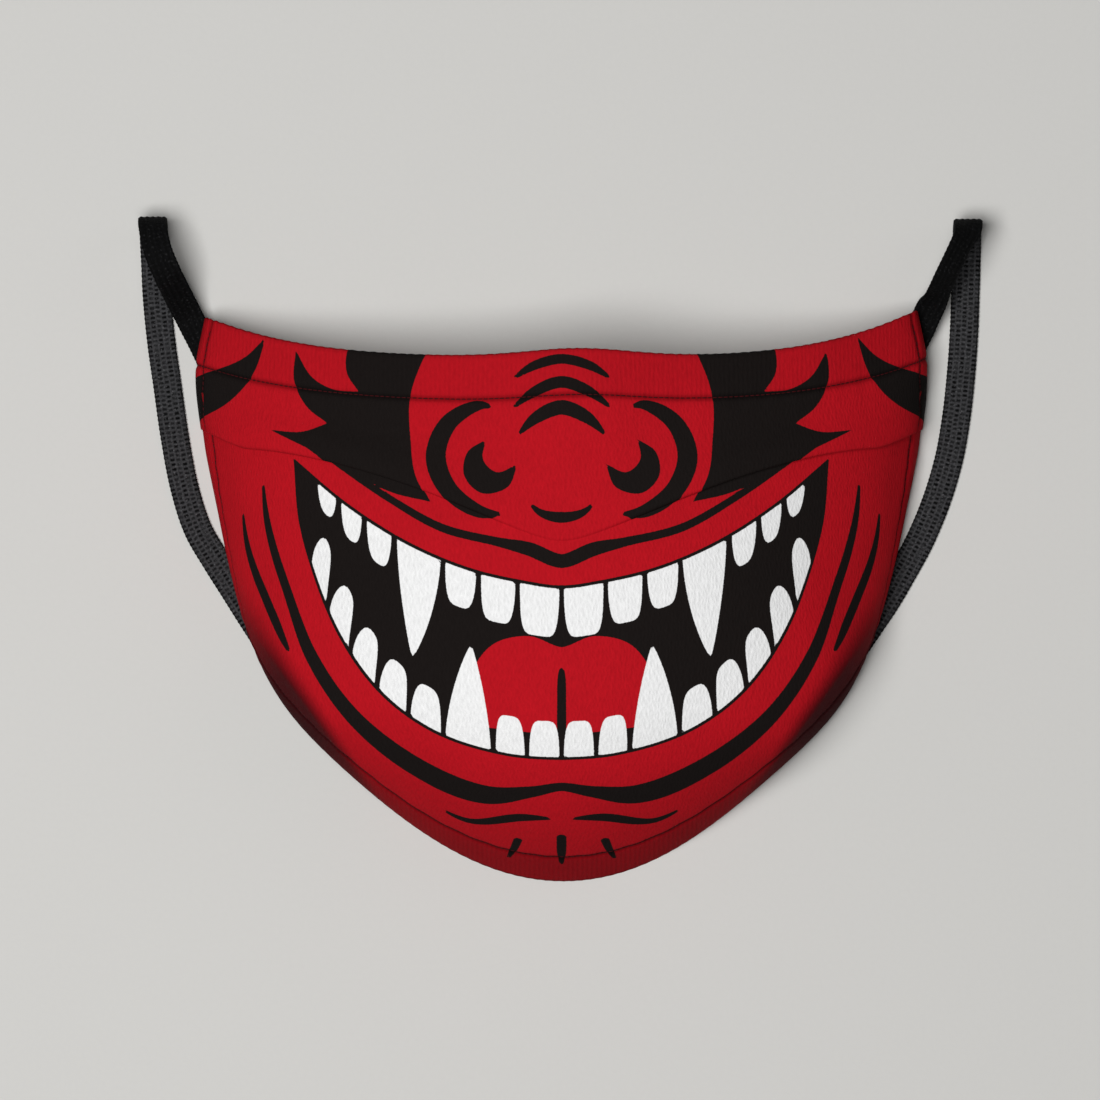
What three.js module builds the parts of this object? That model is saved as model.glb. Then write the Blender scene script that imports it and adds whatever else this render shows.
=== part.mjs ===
// Pleated cloth face mask with two flat elastic ear loops, lying face up.
// Millimetres. X runs to the right, Y towards the nose, Z up from the surface under the mask.
// The origin is on that surface, below the middle of the cloth body.

import * as THREE from 'three';
import { LoftGeometry } from 'three/addons/geometries/LoftGeometry.js';

// Cloth
const CROWN = 44; // highest point of the front above the surface
const NOSE_RISE = 3; // extra height of the nose ridge at the top edge
const NOSE_SPREAD = 16; // half width of that ridge
const NOSE_SHIFT = 4; // the ridge sits a little to the right
const NOSE_PEAK = 1.7; // how far the top edge peaks over the nose
const BRIDGE_FALL = 6; // how much lower the top edge is than the crown
const TOP_CORNER_LIFT = 5.7; // the top corners stand clear of the surface
const LOW_CORNER_LIFT = 1.5; // the elastic runs under the lower corners
const CORNER_START = 0.6; // the rim lifts from here to the side edge, as a part of the half width
const RIGHT_RISE = 1.6; // the top right corner reaches this much further than the left one
const OUTER_THICKNESS = 0.8;
const HEM_THICKNESS = 1.6; // the cloth is folded double along the top and bottom edges
const LINING_THICKNESS = 0.5;
const CLEARANCE = 0.3; // between one piece and the next

// How the rows of cloth curve across the front
const TOP_SQUARENESS = 3.5; // a higher power keeps the top edge level further out
const JAW_FULLNESS = 0.85; // makes the rounded chin fuller at the sides
const JAW_POWER = 8; // and keeps that fullness to the outermost part
const SIDE_STEEPNESS = 0.5; // towards the sides the front falls away more steeply to the chin
const CHIN_POWER = 4; // a higher power keeps the front level further down, and steeper at the chin

// Crease at each lower side, where the front turns sharply down to the rim. It runs along a line
// on the page, from the side to the chin.
const CREASE_START = [68.4, -5.2];
const CREASE_END = [41.4, -41.8];
const CREASE_HEIGHT = 6; // how much it lifts the front
const CREASE_INWARD = 9; // its lift fades over these lengths
const CREASE_OUTWARD = 1.8;
const CREASE_ROUNDING = 0.6;
const CREASE_FOOT = 7; // cloth lower than this is lifted less, and not at all on the surface

// Pleat
const FOLD_DROP = 0.15; // the fold line drops this part of its way straight after the side edge
const FOLD_REACH = 0.8; // it is level beyond this part of the half width
const FOLD_CURVE = 1.5; // power of the curve that it follows down to the middle
const TURN_COMPLETE = 0.42; // the cloth is folded right back from here outwards
const LAP_START = 0.4; // the folded layer begins here
const LAP_FULL = 0.95; // and has its whole depth here
const FOLD_ROUNDING = 0.07; // softens the point of the fold line in the middle, as a part of the half width
const LAP = 11; // how deep the cloth is folded under, at the side edges
const TURN_RADIUS = 0.58; // middle of the cloth, at each fold
const CENTRE_TURN = 0.9; // radians: at the centre the pleat has opened to a small step
const SWELL = 15; // above the fold the cloth stands forward by half the pleat, over this length
const RECOVERY = 20; // below the fold it comes forward again over this length

// Rows of cloth, as fractions of the way from the top edge to the bottom edge
const TOP_HEM = 0.07;
const PLEAT = 0.34;
const BOTTOM_HEM = 0.93;
const STEP = 0.004; // a hem ends over this short way

// Side edge, top edge to bottom edge: row, half width, height on the page
const SIDE_EDGE = [
  [0, 78.3, 61.65],
  [TOP_HEM, 80.2, 51.6],
  [PLEAT, 79.1, 37.6],
  [0.6, 75.4, 18.8],
  [0.8, 72.2, 4.4],
  [BOTTOM_HEM, 69.7, -5],
  [1, 68.1, -9.3],
];

// Middle of the front, top edge to bottom edge: row, height on the page
const MIDDLE = [
  [0, 52.6],
  [TOP_HEM, 43.2],
  [PLEAT, 13.8],
  [BOTTOM_HEM, -56.2],
  [1, -61.65],
];

// Elastic
const ELASTIC_WIDTH = 6.3;
const ELASTIC_THICKNESS = 1.1;
const ELASTIC_CHAMFER = 0.25;
const ELASTIC_STEPS = 42;
const TIP_REACH = 5; // this close to its tip the strip lies square to the page
const RIGHT_TILT = 0.7; // radians that the right strip is turned about its length on its way up
const TILT_STARTS = [0.24, 0.45]; // parts of its way to the tip over which it turns
const TILT_ENDS = [0.75, 0.97]; // and over which it turns level again

// Each route starts inside the top corner, turns over at its tip, and runs back along the surface
const LEFT_ROUTE = [
  [-75.9, 50.4, 4],
  [-77.4, 53.6, 4.2],
  [-79.2, 57.3, 4.4],
  [-80.4, 59.6, 4.6],
  [-81.8, 62.4, 5.3],
  [-83.4, 65.6, 8.3],
  [-84.8, 68.6, 12.4],
  [-86, 71.2, 15.4],
  [-88.2, 76.7, 16.8],
  [-89.3, 81.6, 14],
  [-89.5, 83.5, 8.75],
  [-89.5, 81.6, 3.5],
  [-89.4, 77.4, 0.85],
  [-89.2, 73.3, 0.55],
  [-88.9, 66.9, 0.55],
  [-87.9, 56.6, 0.55],
  [-86.6, 47.4, 0.55],
  [-85, 36.1, 0.55],
  [-82.8, 24.6, 0.55],
  [-79.9, 15.6, 0.55],
  [-76, 8.8, 0.55],
  [-71.9, 2.3, 0.55],
  [-68.2, -3.6, 0.55],
  [-64.2, -9.8, 0.55],
];

const RIGHT_ROUTE = [
  [76.1, 53.6, 4],
  [77.5, 56.8, 4.2],
  [78.9, 59.6, 4.4],
  [80, 62.2, 4.9],
  [81.4, 65.2, 7.8],
  [82.7, 68, 12],
  [83.9, 70.7, 15.3],
  [86.5, 76.2, 16.8],
  [88.7, 81.1, 14],
  [89, 83, 8.75],
  [89, 81.1, 3.5],
  [89, 76.9, 0.85],
  [88.9, 72.8, 0.55],
  [88.7, 67, 0.55],
  [88.4, 58.6, 0.55],
  [87.7, 49, 0.55],
  [86.7, 40, 0.55],
  [85.1, 31, 0.55],
  [82.4, 21.9, 0.55],
  [78.7, 13, 0.55],
  [74.9, 6, 0.55],
  [71.3, -0.2, 0.55],
  [68.1, -5, 0.55],
  [64.2, -10.8, 0.55],
];

// Mesh density
const COLUMNS = 44;
const LINING_COLUMNS = 38; // the lining stops at the side hems, and its columns match the cloth's
const LINING_RAMP = 6; // the lining drops clear of the folded cloth over this length
const UPPER_ROWS = [0, 0.036, TOP_HEM, TOP_HEM + STEP, 0.12, 0.17, 0.225, 0.285, PLEAT];
const FOLD_STEPS = 3;
const UNDER_STEPS = 3;
const LOWER_ROWS = [0.42, 0.49, 0.56, 0.63, 0.7, 0.77, 0.83, 0.885, BOTTOM_HEM - STEP, BOTTOM_HEM, 0.967, 1];
const LINING_ROWS = [
  0.079, 0.12, 0.17, 0.2, 0.225, 0.255, 0.285, 0.31, PLEAT, 0.37,
  0.42, 0.49, 0.56, 0.63, 0.7, 0.77, 0.83, 0.885, 0.921,
];

// Small maths

const QUARTER_TURN = Math.PI / 2;

function mix(from, to, part) {
  return from + (to - from) * part;
}

function smooth(low, high, value) {
  const part = Math.min(1, Math.max(0, (value - low) / (high - low)));
  return part * part * (3 - 2 * part);
}

// A smooth curve through a short table, read at a row; column picks what is read
function readTable(table, column, at) {
  let i = 0;
  while (i < table.length - 2 && at > table[i + 1][0]) i += 1;
  const slope = (k) => {
    const before = table[Math.max(0, k - 1)];
    const after = table[Math.min(table.length - 1, k + 1)];
    return (after[column] - before[column]) / (after[0] - before[0]);
  };
  const span = table[i + 1][0] - table[i][0];
  const p = (at - table[i][0]) / span;
  const start = table[i][column];
  const end = table[i + 1][column];
  const rise = (2 * p ** 3 - 3 * p ** 2 + 1) * start + (3 * p ** 2 - 2 * p ** 3) * end;
  return rise + (p ** 3 - 2 * p ** 2 + p) * span * slope(i) + (p ** 3 - p ** 2) * span * slope(i + 1);
}

// Front of the cloth before it is pleated

// How a row hangs between its ends and the middle: 0 at the side edge, 1 in the middle
function rowSag(across, row) {
  const topEdge = 1 - across ** TOP_SQUARENESS;
  const inward = Math.sqrt(across ** 2 + FOLD_ROUNDING ** 2) - FOLD_ROUNDING;
  const drop = FOLD_DROP * (1 - smooth(0.85, 1, across));
  const fold = drop + (1 - FOLD_DROP) * Math.max(0, 1 - inward / FOLD_REACH) ** FOLD_CURVE;
  const jaw = (1 - across ** 2) * (1 + JAW_FULLNESS * across ** JAW_POWER);
  if (row < PLEAT) return mix(topEdge, fold, smooth(0, PLEAT, row));
  return mix(fold, jaw, smooth(PLEAT, 0.8, row));
}

// How full the front is along a row, from 1 at the crown to 0 where the row lies on the surface
function rowHeight(across, middleY) {
  if (middleY > 0) {
    return 1 - (BRIDGE_FALL / CROWN) * (middleY / MIDDLE[0][1]) ** 2;
  }
  const down = Math.min(1, middleY / MIDDLE[MIDDLE.length - 1][1]);
  const steepness = 1 - SIDE_STEEPNESS * smooth(0.15, 0.8, across);
  return (1 - down ** CHIN_POWER) ** steepness;
}

// Height that the crease adds at a place on the page
function crease(x, y) {
  const start = new THREE.Vector2(...CREASE_START);
  const way = new THREE.Vector2(...CREASE_END).sub(start);
  const length = way.length();
  way.normalize();
  const fromStart = new THREE.Vector2(Math.abs(x), y).sub(start);
  const beyond = fromStart.y * way.x - fromStart.x * way.y;
  const along = fromStart.dot(way) / length;
  const rounded = Math.sqrt(beyond ** 2 + CREASE_ROUNDING ** 2) - CREASE_ROUNDING;
  const fall = Math.exp(-rounded / (beyond > 0 ? CREASE_OUTWARD : CREASE_INWARD));
  const ends = smooth(-0.1, 0.3, along) * (1 - smooth(0.62, 1.12, along));
  return CREASE_HEIGHT * ends * fall;
}

function rimLift(side, row) {
  const outward = smooth(CORNER_START, 1, side);
  const topCorner = TOP_CORNER_LIFT * (1 - smooth(0.05, 0.27, row));
  const lowCorner = LOW_CORNER_LIFT * smooth(0.6, 0.7, row);
  return outward * (topCorner + lowCorner);
}

// side runs from -1 at the left edge to 1 at the right edge, row from 0 at the top to 1
function front(side, row) {
  const angle = side * QUARTER_TURN;
  const across = Math.abs(Math.sin(angle));
  const x = Math.sin(angle) * readTable(SIDE_EDGE, 1, row);
  const sideY = readTable(SIDE_EDGE, 2, row);
  const middleY = readTable(MIDDLE, 1, row);
  const nose = Math.exp(-(((x - NOSE_SHIFT) / NOSE_SPREAD) ** 2));
  const atTop = 1 - smooth(0, 0.25, row);
  const peak = NOSE_PEAK * nose + RIGHT_RISE * smooth(0.35, 1, side);
  const y = mix(sideY, middleY, rowSag(across, row)) + peak * atTop;
  const dome = CROWN * Math.cos(angle) * rowHeight(across, middleY);
  const z = rimLift(Math.abs(side), row) + dome + NOSE_RISE * nose * (1 - smooth(0, 0.3, row));
  return new THREE.Vector3(x, y, z + crease(x, y) * smooth(0, CREASE_FOOT, z));
}

// Directions at a point of the front: out is away from the face, square is along the cloth
function directions(sideThere, rowThere) {
  // They are read a little inside the edges, because the cloth has no width at its lower corners
  const near = 0.004;
  const inside = 0.985;
  const side = Math.min(inside, Math.max(-inside, sideThere));
  const row = Math.min(inside, Math.max(near, rowThere));
  const acrossRow = front(side + near, row).sub(front(side - near, row)).normalize();
  const above = front(side, row - near);
  const below = front(side, row + near);
  const reach = below.distanceTo(above) / (2 * near);
  const down = below.sub(above).normalize();
  const out = new THREE.Vector3().crossVectors(down, acrossRow).normalize();
  const square = new THREE.Vector3().crossVectors(acrossRow, out).normalize();
  return { out, square, reach };
}

// The pleat at one place across: how far the cloth turns back, and how long it stays turned
function pleatAt(side) {
  const outward = Math.abs(side);
  const turn = mix(CENTRE_TURN, Math.PI, smooth(0, TURN_COMPLETE, outward));
  const lap = LAP * smooth(LAP_START, LAP_FULL, outward);
  const shift = 2 * TURN_RADIUS * Math.sin(turn) + lap * Math.cos(turn);
  const depth = 2 * TURN_RADIUS * (1 - Math.cos(turn)) + lap * Math.sin(turn);
  return { turn, shift, depth };
}

// Half of the pleat stands in front of the plain surface, and half of it behind
function swellAt(side) {
  return pleatAt(side).depth / 2;
}

// Stations along the cloth. A station gives its row, its way past the fold line, its depth below
// the front and the angle that the cloth has turned by.
function upperStations() {
  return UPPER_ROWS.map((row) => (side, reach) => {
    const before = (PLEAT - row) * reach;
    return { row, past: 0, depth: -swellAt(side) * (1 - smooth(0, SWELL, before)), angle: 0 };
  });
}

function foldStations() {
  const stations = [];
  for (let k = 1; k <= FOLD_STEPS; k += 1) {
    stations.push((side) => {
      const { turn } = pleatAt(side);
      const angle = (turn * k) / FOLD_STEPS;
      const past = TURN_RADIUS * Math.sin(angle);
      const depth = TURN_RADIUS * (1 - Math.cos(angle)) - swellAt(side);
      return { row: PLEAT, past, depth, angle };
    });
  }
  for (let k = 0; k <= FOLD_STEPS; k += 1) {
    stations.push((side) => {
      const { turn, shift, depth } = pleatAt(side);
      const angle = turn * (1 - k / FOLD_STEPS);
      const past = shift - TURN_RADIUS * Math.sin(angle);
      const behind = depth - TURN_RADIUS * (1 - Math.cos(angle)) - swellAt(side);
      return { row: PLEAT, past, depth: behind, angle };
    });
  }
  return stations;
}

function lowerStations() {
  const stations = [];
  for (let k = 1; k < UNDER_STEPS; k += 1) {
    stations.push((side, reach) => {
      const past = mix(pleatAt(side).shift, (LOWER_ROWS[0] - PLEAT) * reach, k / UNDER_STEPS);
      return { row: PLEAT, past, depth: swellAt(side) * (1 - smooth(0, RECOVERY, past)), angle: 0 };
    });
  }
  LOWER_ROWS.forEach((row) => {
    stations.push((side, reach) => {
      const past = (row - PLEAT) * reach;
      return { row, past: 0, depth: swellAt(side) * (1 - smooth(0, RECOVERY, past)), angle: 0 };
    });
  });
  return stations;
}

// Outer and inner skin of the printed cloth at one station
function panelPoint(side, station) {
  const atFold = directions(side, PLEAT);
  const { row, past, depth, angle } = station(side, atFold.reach);
  const place = row + past / atFold.reach;
  const base = front(side, place);
  const { out, square } = directions(side, place);
  const middle = base.clone().addScaledVector(out, -depth - OUTER_THICKNESS / 2);
  const normal = out.clone().multiplyScalar(Math.cos(angle)).addScaledVector(square, Math.sin(angle));
  const atHem = place <= TOP_HEM || place >= BOTTOM_HEM;
  const inward = (atHem ? HEM_THICKNESS : OUTER_THICKNESS) - OUTER_THICKNESS / 2;
  const outer = middle.clone().addScaledVector(normal, OUTER_THICKNESS / 2);
  const inner = middle.clone().addScaledVector(normal, -inward);
  if (place >= 1) {
    // The bottom edge is flat on the surface, so its inner skin is level with its outer one
    const level = new THREE.Vector3(out.x, out.y, 0);
    const steepest = 0.6; // keeps the edge narrow where the cloth is nearly level
    const width = HEM_THICKNESS / Math.max(steepest, level.length());
    inner.copy(outer).addScaledVector(level.normalize(), -width);
  }
  outer.setZ(Math.max(0, outer.z));
  inner.setZ(Math.max(0, inner.z));
  return { outer, inner };
}

// The lining clears the thickness of the pleat where the cloth is folded under
function liningDepth(side, row) {
  const { reach } = directions(side, PLEAT);
  const past = (row - PLEAT) * reach;
  const start = pleatAt(side).shift - 1.5 * TURN_RADIUS;
  const entered = smooth(start - LINING_RAMP, start, past);
  const stack = swellAt(side) * entered * (1 - smooth(0, RECOVERY, past));
  return OUTER_THICKNESS + CLEARANCE + stack;
}

function liningPoint(side, row) {
  const base = front(side, row);
  const { out } = directions(side, row);
  const depth = liningDepth(side, row);
  const outer = base.clone().addScaledVector(out, -depth);
  const inner = base.clone().addScaledVector(out, -depth - LINING_THICKNESS);
  return { outer, inner };
}

// A closed shell from rows of points: outer skin, inner skin and the four edges between them
function shellGeometry(rows) {
  const height = rows.length;
  const width = rows[0].length;
  const vertices = [];
  rows.forEach((line) => line.forEach(({ outer }) => vertices.push(outer.x, outer.y, outer.z)));
  rows.forEach((line) => line.forEach(({ inner }) => vertices.push(inner.x, inner.y, inner.z)));
  const index = [];
  const quad = (a, b, c, d) => index.push(a, b, c, a, c, d);
  const outerAt = (i, j) => i * width + j;
  const innerAt = (i, j) => height * width + i * width + j;
  for (let i = 0; i < height - 1; i += 1) {
    for (let j = 0; j < width - 1; j += 1) {
      quad(outerAt(i, j), outerAt(i + 1, j), outerAt(i + 1, j + 1), outerAt(i, j + 1));
      quad(innerAt(i, j), innerAt(i, j + 1), innerAt(i + 1, j + 1), innerAt(i + 1, j));
    }
    quad(outerAt(i, 0), innerAt(i, 0), innerAt(i + 1, 0), outerAt(i + 1, 0));
    quad(outerAt(i + 1, width - 1), innerAt(i + 1, width - 1), innerAt(i, width - 1), outerAt(i, width - 1));
  }
  for (let j = 0; j < width - 1; j += 1) {
    quad(outerAt(0, j + 1), innerAt(0, j + 1), innerAt(0, j), outerAt(0, j));
    const last = height - 1;
    quad(outerAt(last, j), innerAt(last, j), innerAt(last, j + 1), outerAt(last, j + 1));
  }
  const geometry = new THREE.BufferGeometry();
  geometry.setAttribute('position', new THREE.Float32BufferAttribute(vertices, 3));
  geometry.setIndex(index);
  geometry.computeVertexNormals();
  return geometry;
}

function outerPanel() {
  const stations = [...upperStations(), ...foldStations(), ...lowerStations()];
  const rows = stations.map((station) => {
    const line = [];
    for (let j = 0; j <= COLUMNS; j += 1) line.push(panelPoint((2 * j) / COLUMNS - 1, station));
    return line;
  });
  return shellGeometry(rows);
}

function lining() {
  const rows = LINING_ROWS.map((row) => {
    const line = [];
    for (let j = 0; j <= LINING_COLUMNS; j += 1) {
      line.push(liningPoint((2 * j - LINING_COLUMNS) / COLUMNS, row));
    }
    return line;
  });
  return shellGeometry(rows);
}

// Flat elastic: a chamfered strip whose width is level, apart from its tilt on the way to its tip
function elastic(route, tilt) {
  const curve = new THREE.CatmullRomCurve3(
    route.map((point) => new THREE.Vector3(...point)),
    false,
    'centripetal',
  );
  const tip = route.reduce((best, point) => Math.max(best, point[1]), -Infinity);
  const points = curve.getSpacedPoints(ELASTIC_STEPS);
  points.forEach((point) => point.setZ(Math.max(point.z, ELASTIC_THICKNESS / 2)));
  const furthest = points.reduce((best, point, k) => (point.y > points[best].y ? k : best), 0);
  const halfWidth = ELASTIC_WIDTH / 2;
  const halfThickness = ELASTIC_THICKNESS / 2;
  const outline = [
    [halfWidth, halfThickness - ELASTIC_CHAMFER],
    [halfWidth - ELASTIC_CHAMFER, halfThickness],
    [ELASTIC_CHAMFER - halfWidth, halfThickness],
    [-halfWidth, halfThickness - ELASTIC_CHAMFER],
    [-halfWidth, ELASTIC_CHAMFER - halfThickness],
    [ELASTIC_CHAMFER - halfWidth, -halfThickness],
    [halfWidth - ELASTIC_CHAMFER, -halfThickness],
    [halfWidth, ELASTIC_CHAMFER - halfThickness],
  ];
  const sections = points.map((point, k) => {
    const before = points[Math.max(0, k - 1)];
    const after = points[Math.min(ELASTIC_STEPS, k + 1)];
    const along = after.clone().sub(before).normalize();
    const nearTip = tip - point.y < TIP_REACH;
    const heading = nearTip ? new THREE.Vector3(0, 1, 0) : along.clone();
    if (!nearTip && k > furthest) heading.negate();
    heading.z = 0;
    heading.normalize();
    const widthWay = new THREE.Vector3(heading.y, -heading.x, 0);
    const face = new THREE.Vector3().crossVectors(widthWay, along).normalize();
    const way = k / furthest;
    const turned = tilt * smooth(...TILT_STARTS, way) * (1 - smooth(...TILT_ENDS, way));
    widthWay.applyAxisAngle(along, turned);
    face.applyAxisAngle(along, turned);
    return outline.map(([u, v]) => point.clone().addScaledVector(widthWay, -u).addScaledVector(face, v));
  });
  return new LoftGeometry(sections, { capStart: true, capEnd: true });
}

// Finishes

const printedCloth = new THREE.MeshStandardMaterial({ color: 0xb81a22, roughness: 0.85, metalness: 0 });
const plainCloth = new THREE.MeshStandardMaterial({ color: 0xe9e6e0, roughness: 0.9, metalness: 0 });
const blackElastic = new THREE.MeshStandardMaterial({ color: 0x17171a, roughness: 0.8, metalness: 0 });

const mask = new THREE.Group();

function add(name, geometry, material) {
  const mesh = new THREE.Mesh(geometry, material);
  mesh.name = name;
  mask.add(mesh);
}

add('outer_panel', outerPanel(), printedCloth);
add('lining', lining(), plainCloth);
add('ear_loop_left', elastic(LEFT_ROUTE, 0), blackElastic);
add('ear_loop_right', elastic(RIGHT_ROUTE, RIGHT_TILT), blackElastic);

export default mask;
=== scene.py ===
"""Looks of a pleated cloth face mask that lies face up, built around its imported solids.

Lengths in this file are millimetres as seen in the row's frame, and meshes are made in metres.
X runs to the right, Y towards the nose edge and Z up from the surface under the mask.
"""

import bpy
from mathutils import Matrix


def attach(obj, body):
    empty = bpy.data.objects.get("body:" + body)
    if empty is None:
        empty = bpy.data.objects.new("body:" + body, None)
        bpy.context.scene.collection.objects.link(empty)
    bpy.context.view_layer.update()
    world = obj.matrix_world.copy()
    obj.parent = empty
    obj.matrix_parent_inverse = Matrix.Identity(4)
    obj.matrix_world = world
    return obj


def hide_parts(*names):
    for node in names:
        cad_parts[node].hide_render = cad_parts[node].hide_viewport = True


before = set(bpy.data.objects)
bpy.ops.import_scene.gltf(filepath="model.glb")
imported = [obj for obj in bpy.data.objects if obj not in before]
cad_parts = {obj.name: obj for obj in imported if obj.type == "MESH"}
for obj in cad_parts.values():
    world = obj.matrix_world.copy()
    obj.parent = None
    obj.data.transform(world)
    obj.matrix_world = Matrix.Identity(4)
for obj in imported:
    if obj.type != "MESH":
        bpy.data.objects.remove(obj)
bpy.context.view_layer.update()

import math

import bpy
import numpy as np
from mathutils import Vector

bl_info = {
    "name": "Pleated cloth face mask",
    "version": (1, 0, 0),
    "blender": (4, 5, 0),
    "location": "View3D > Sidebar > Face mask",
    "description": "Makes a printed cloth face mask with its lining, ear loops and stitching",
    "category": "Object",
}

MM = 0.001
BODY = "root"

# Cloth, as in the solids
CROWN = 44.0
NOSE_RISE = 3.0
NOSE_SPREAD = 16.0
NOSE_SHIFT = 4.0
NOSE_PEAK = 1.7
BRIDGE_FALL = 6.0
TOP_CORNER_LIFT = 5.7
LOW_CORNER_LIFT = 1.5
RIGHT_RISE = 1.6
CORNER_START = 0.6
TOP_SQUARENESS = 3.5
JAW_FULLNESS = 0.85
JAW_POWER = 8
SIDE_STEEPNESS = 0.5
CHIN_POWER = 4
CLEARANCE = 0.3
LINING_THICKNESS = 0.5
LINING_RAMP = 6.0

# Where changes of the form start and end, as parts of the way across or down
DROP_START = 0.85
JAW_FULL_ROW = 0.8
STEEP_SIDES = (0.15, 0.8)
NOSE_PEAK_END = 0.25
NOSE_RISE_END = 0.3
RIGHT_RISE_START = 0.35
TOP_CORNER_ROWS = (0.05, 0.27)
LOW_CORNER_ROWS = (0.6, 0.7)

# Pleat, as in the solids
FOLD_DROP = 0.15
FOLD_REACH = 0.8
FOLD_CURVE = 1.5
FOLD_ROUNDING = 0.07
TURN_COMPLETE = 0.42
LAP_START = 0.4
LAP_FULL = 0.95
LAP = 11.0
TURN_RADIUS = 0.58
CENTRE_TURN = 0.9
SWELL = 15.0
RECOVERY = 20.0

# Rows of cloth, as parts of the way from the top edge to the bottom edge
TOP_HEM = 0.07
PLEAT = 0.34
BOTTOM_HEM = 0.93
SIDE_HEM = 0.872  # and a column, as a part of the way from the middle to the side edge

# Side edge, top to bottom: row, half width, height on the page
SIDE_EDGE = np.array([
    [0, 78.3, 61.65],
    [TOP_HEM, 80.2, 51.6],
    [PLEAT, 79.1, 37.6],
    [0.6, 75.4, 18.8],
    [0.8, 72.2, 4.4],
    [BOTTOM_HEM, 69.7, -5],
    [1, 68.1, -9.3],
])

# Middle of the front, top to bottom: row, height on the page
MIDDLE = np.array([
    [0, 52.6],
    [TOP_HEM, 43.2],
    [PLEAT, 13.8],
    [BOTTOM_HEM, -56.2],
    [1, -61.65],
])

# Routes of the ear elastic, as in the solids: inside the top corner, over the tip and back
LEFT_ROUTE = [
    (-75.9, 50.4, 4), (-77.4, 53.6, 4.2), (-79.2, 57.3, 4.4), (-80.4, 59.6, 4.6), (-81.8, 62.4, 5.3),
    (-83.4, 65.6, 8.3), (-84.8, 68.6, 12.4), (-86, 71.2, 15.4), (-88.2, 76.7, 16.8), (-89.3, 81.6, 14),
    (-89.5, 83.5, 8.75), (-89.5, 81.6, 3.5), (-89.4, 77.4, 0.85), (-89.2, 73.3, 0.55),
    (-88.9, 66.9, 0.55), (-87.9, 56.6, 0.55), (-86.6, 47.4, 0.55), (-85, 36.1, 0.55), (-82.8, 24.6, 0.55),
    (-79.9, 15.6, 0.55), (-76, 8.8, 0.55), (-71.9, 2.3, 0.55), (-68.2, -3.6, 0.55), (-64.2, -9.8, 0.55),
]
RIGHT_ROUTE = [
    (76.1, 53.6, 4), (77.5, 56.8, 4.2), (78.9, 59.6, 4.4), (80, 62.2, 4.9), (81.4, 65.2, 7.8),
    (82.7, 68, 12), (83.9, 70.7, 15.3), (86.5, 76.2, 16.8), (88.7, 81.1, 14), (89, 83, 8.75),
    (89, 81.1, 3.5), (89, 76.9, 0.85), (88.9, 72.8, 0.55),
    (88.7, 67, 0.55), (88.4, 58.6, 0.55), (87.7, 49, 0.55), (86.7, 40, 0.55), (85.1, 31, 0.55),
    (82.4, 21.9, 0.55), (78.7, 13, 0.55), (74.9, 6, 0.55), (71.3, -0.2, 0.55), (68.1, -5, 0.55),
    (64.2, -10.8, 0.55),
]
RIGHT_TILT = 0.7  # radians that the right strip is turned about its length on its way up
TILT_STARTS = (0.24, 0.45)  # parts of its way to the tip over which it turns
TILT_ENDS = (0.75, 0.97)  # and over which it turns level again
TIP_BLEND = 5.0  # from the tip, over this length, the strip takes up its route's heading

# Photograph: its frame, its scale and the pixel that is the middle of the mask
PHOTO_SIZE = 1100
MM_PER_PIXEL = 0.21828
MIDDLE_PIXEL = (561.5, 600.35)

# Stage
SENSOR = 36  # width of the camera's sensor
TRUE_SCALE_LEVEL = 16  # height on the mask where the scale is exact
KEY_PLACE = (-0.275, -0.06, 1.3)  # metres, as the next two
FILL_PLACE = (0.9, 0.5, 0.9)
LIGHT_SIZE = 0.6
FLOOR_HALF = 4000
FLOOR_DROP = 0.05  # the floor is just under the lowest cloth

# Crease at each lower side, as in the solids: the front turns sharply down to the rim there
CREASE_START = np.array([68.4, -5.2])
CREASE_END = np.array([41.4, -41.8])
CREASE_HEIGHT = 6.0
CREASE_INWARD = 9.0
CREASE_OUTWARD = 1.8
CREASE_ROUNDING = 0.6
CREASE_FOOT = 7.0  # no part of the crease lifts cloth that lies on the surface
CREASE_RISES = (-0.1, 0.3)  # parts of its length over which it comes in
CREASE_FALLS = (0.62, 1.12)  # and over which it goes out again

# Relief of the fine cloth
STITCH_GROOVE = 0.36  # depth of the line that the thread pulls into the cloth
GROOVE_WIDTH = 0.7
THREAD_SHOWS = 0.06  # height of the thread's middle above the bottom of the groove
PUCKER = 0.06  # height of the small waves along a seam
PUCKER_PITCH = 5.6
PUCKER_WANDER = (1.7, 9.0)  # radians that its crests wander by, and over which length
PUCKER_REACH = 3.2
TOP_RIBS = 0.65  # strength of the ribs in the top hem, as a part of that in the bottom hem
EDGE_WAVE = 0.12  # the hems' ribs end in small waves at the edge
EDGE_WAVE_PITCH = 2.2
EDGE_WANDER = (2.0, 5.0)
SLACK = 0.22  # height of the cloth's soft unevenness
SLACK_LENGTHS = (13.0, 17.0)  # of its waves, for a radian, across and up
SLACK_SHIFTS = (0.9, 0.4)
HEM_STEP = 0.012  # part of the way over which cloth gets double beside a seam
LEAST_SLOPE = 0.6  # keeps the bottom edge from getting too wide where the cloth lies flatter
PRESSED_RADIUS = 0.09  # of the pleat's folds at the side edge, where the hem presses them together
PRESSED_THICKNESS = 0.17
PRESSED_RECOVERY = 6.0
PRESSED = (0.78, 0.98)  # from where to where the folds get flatter

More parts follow.
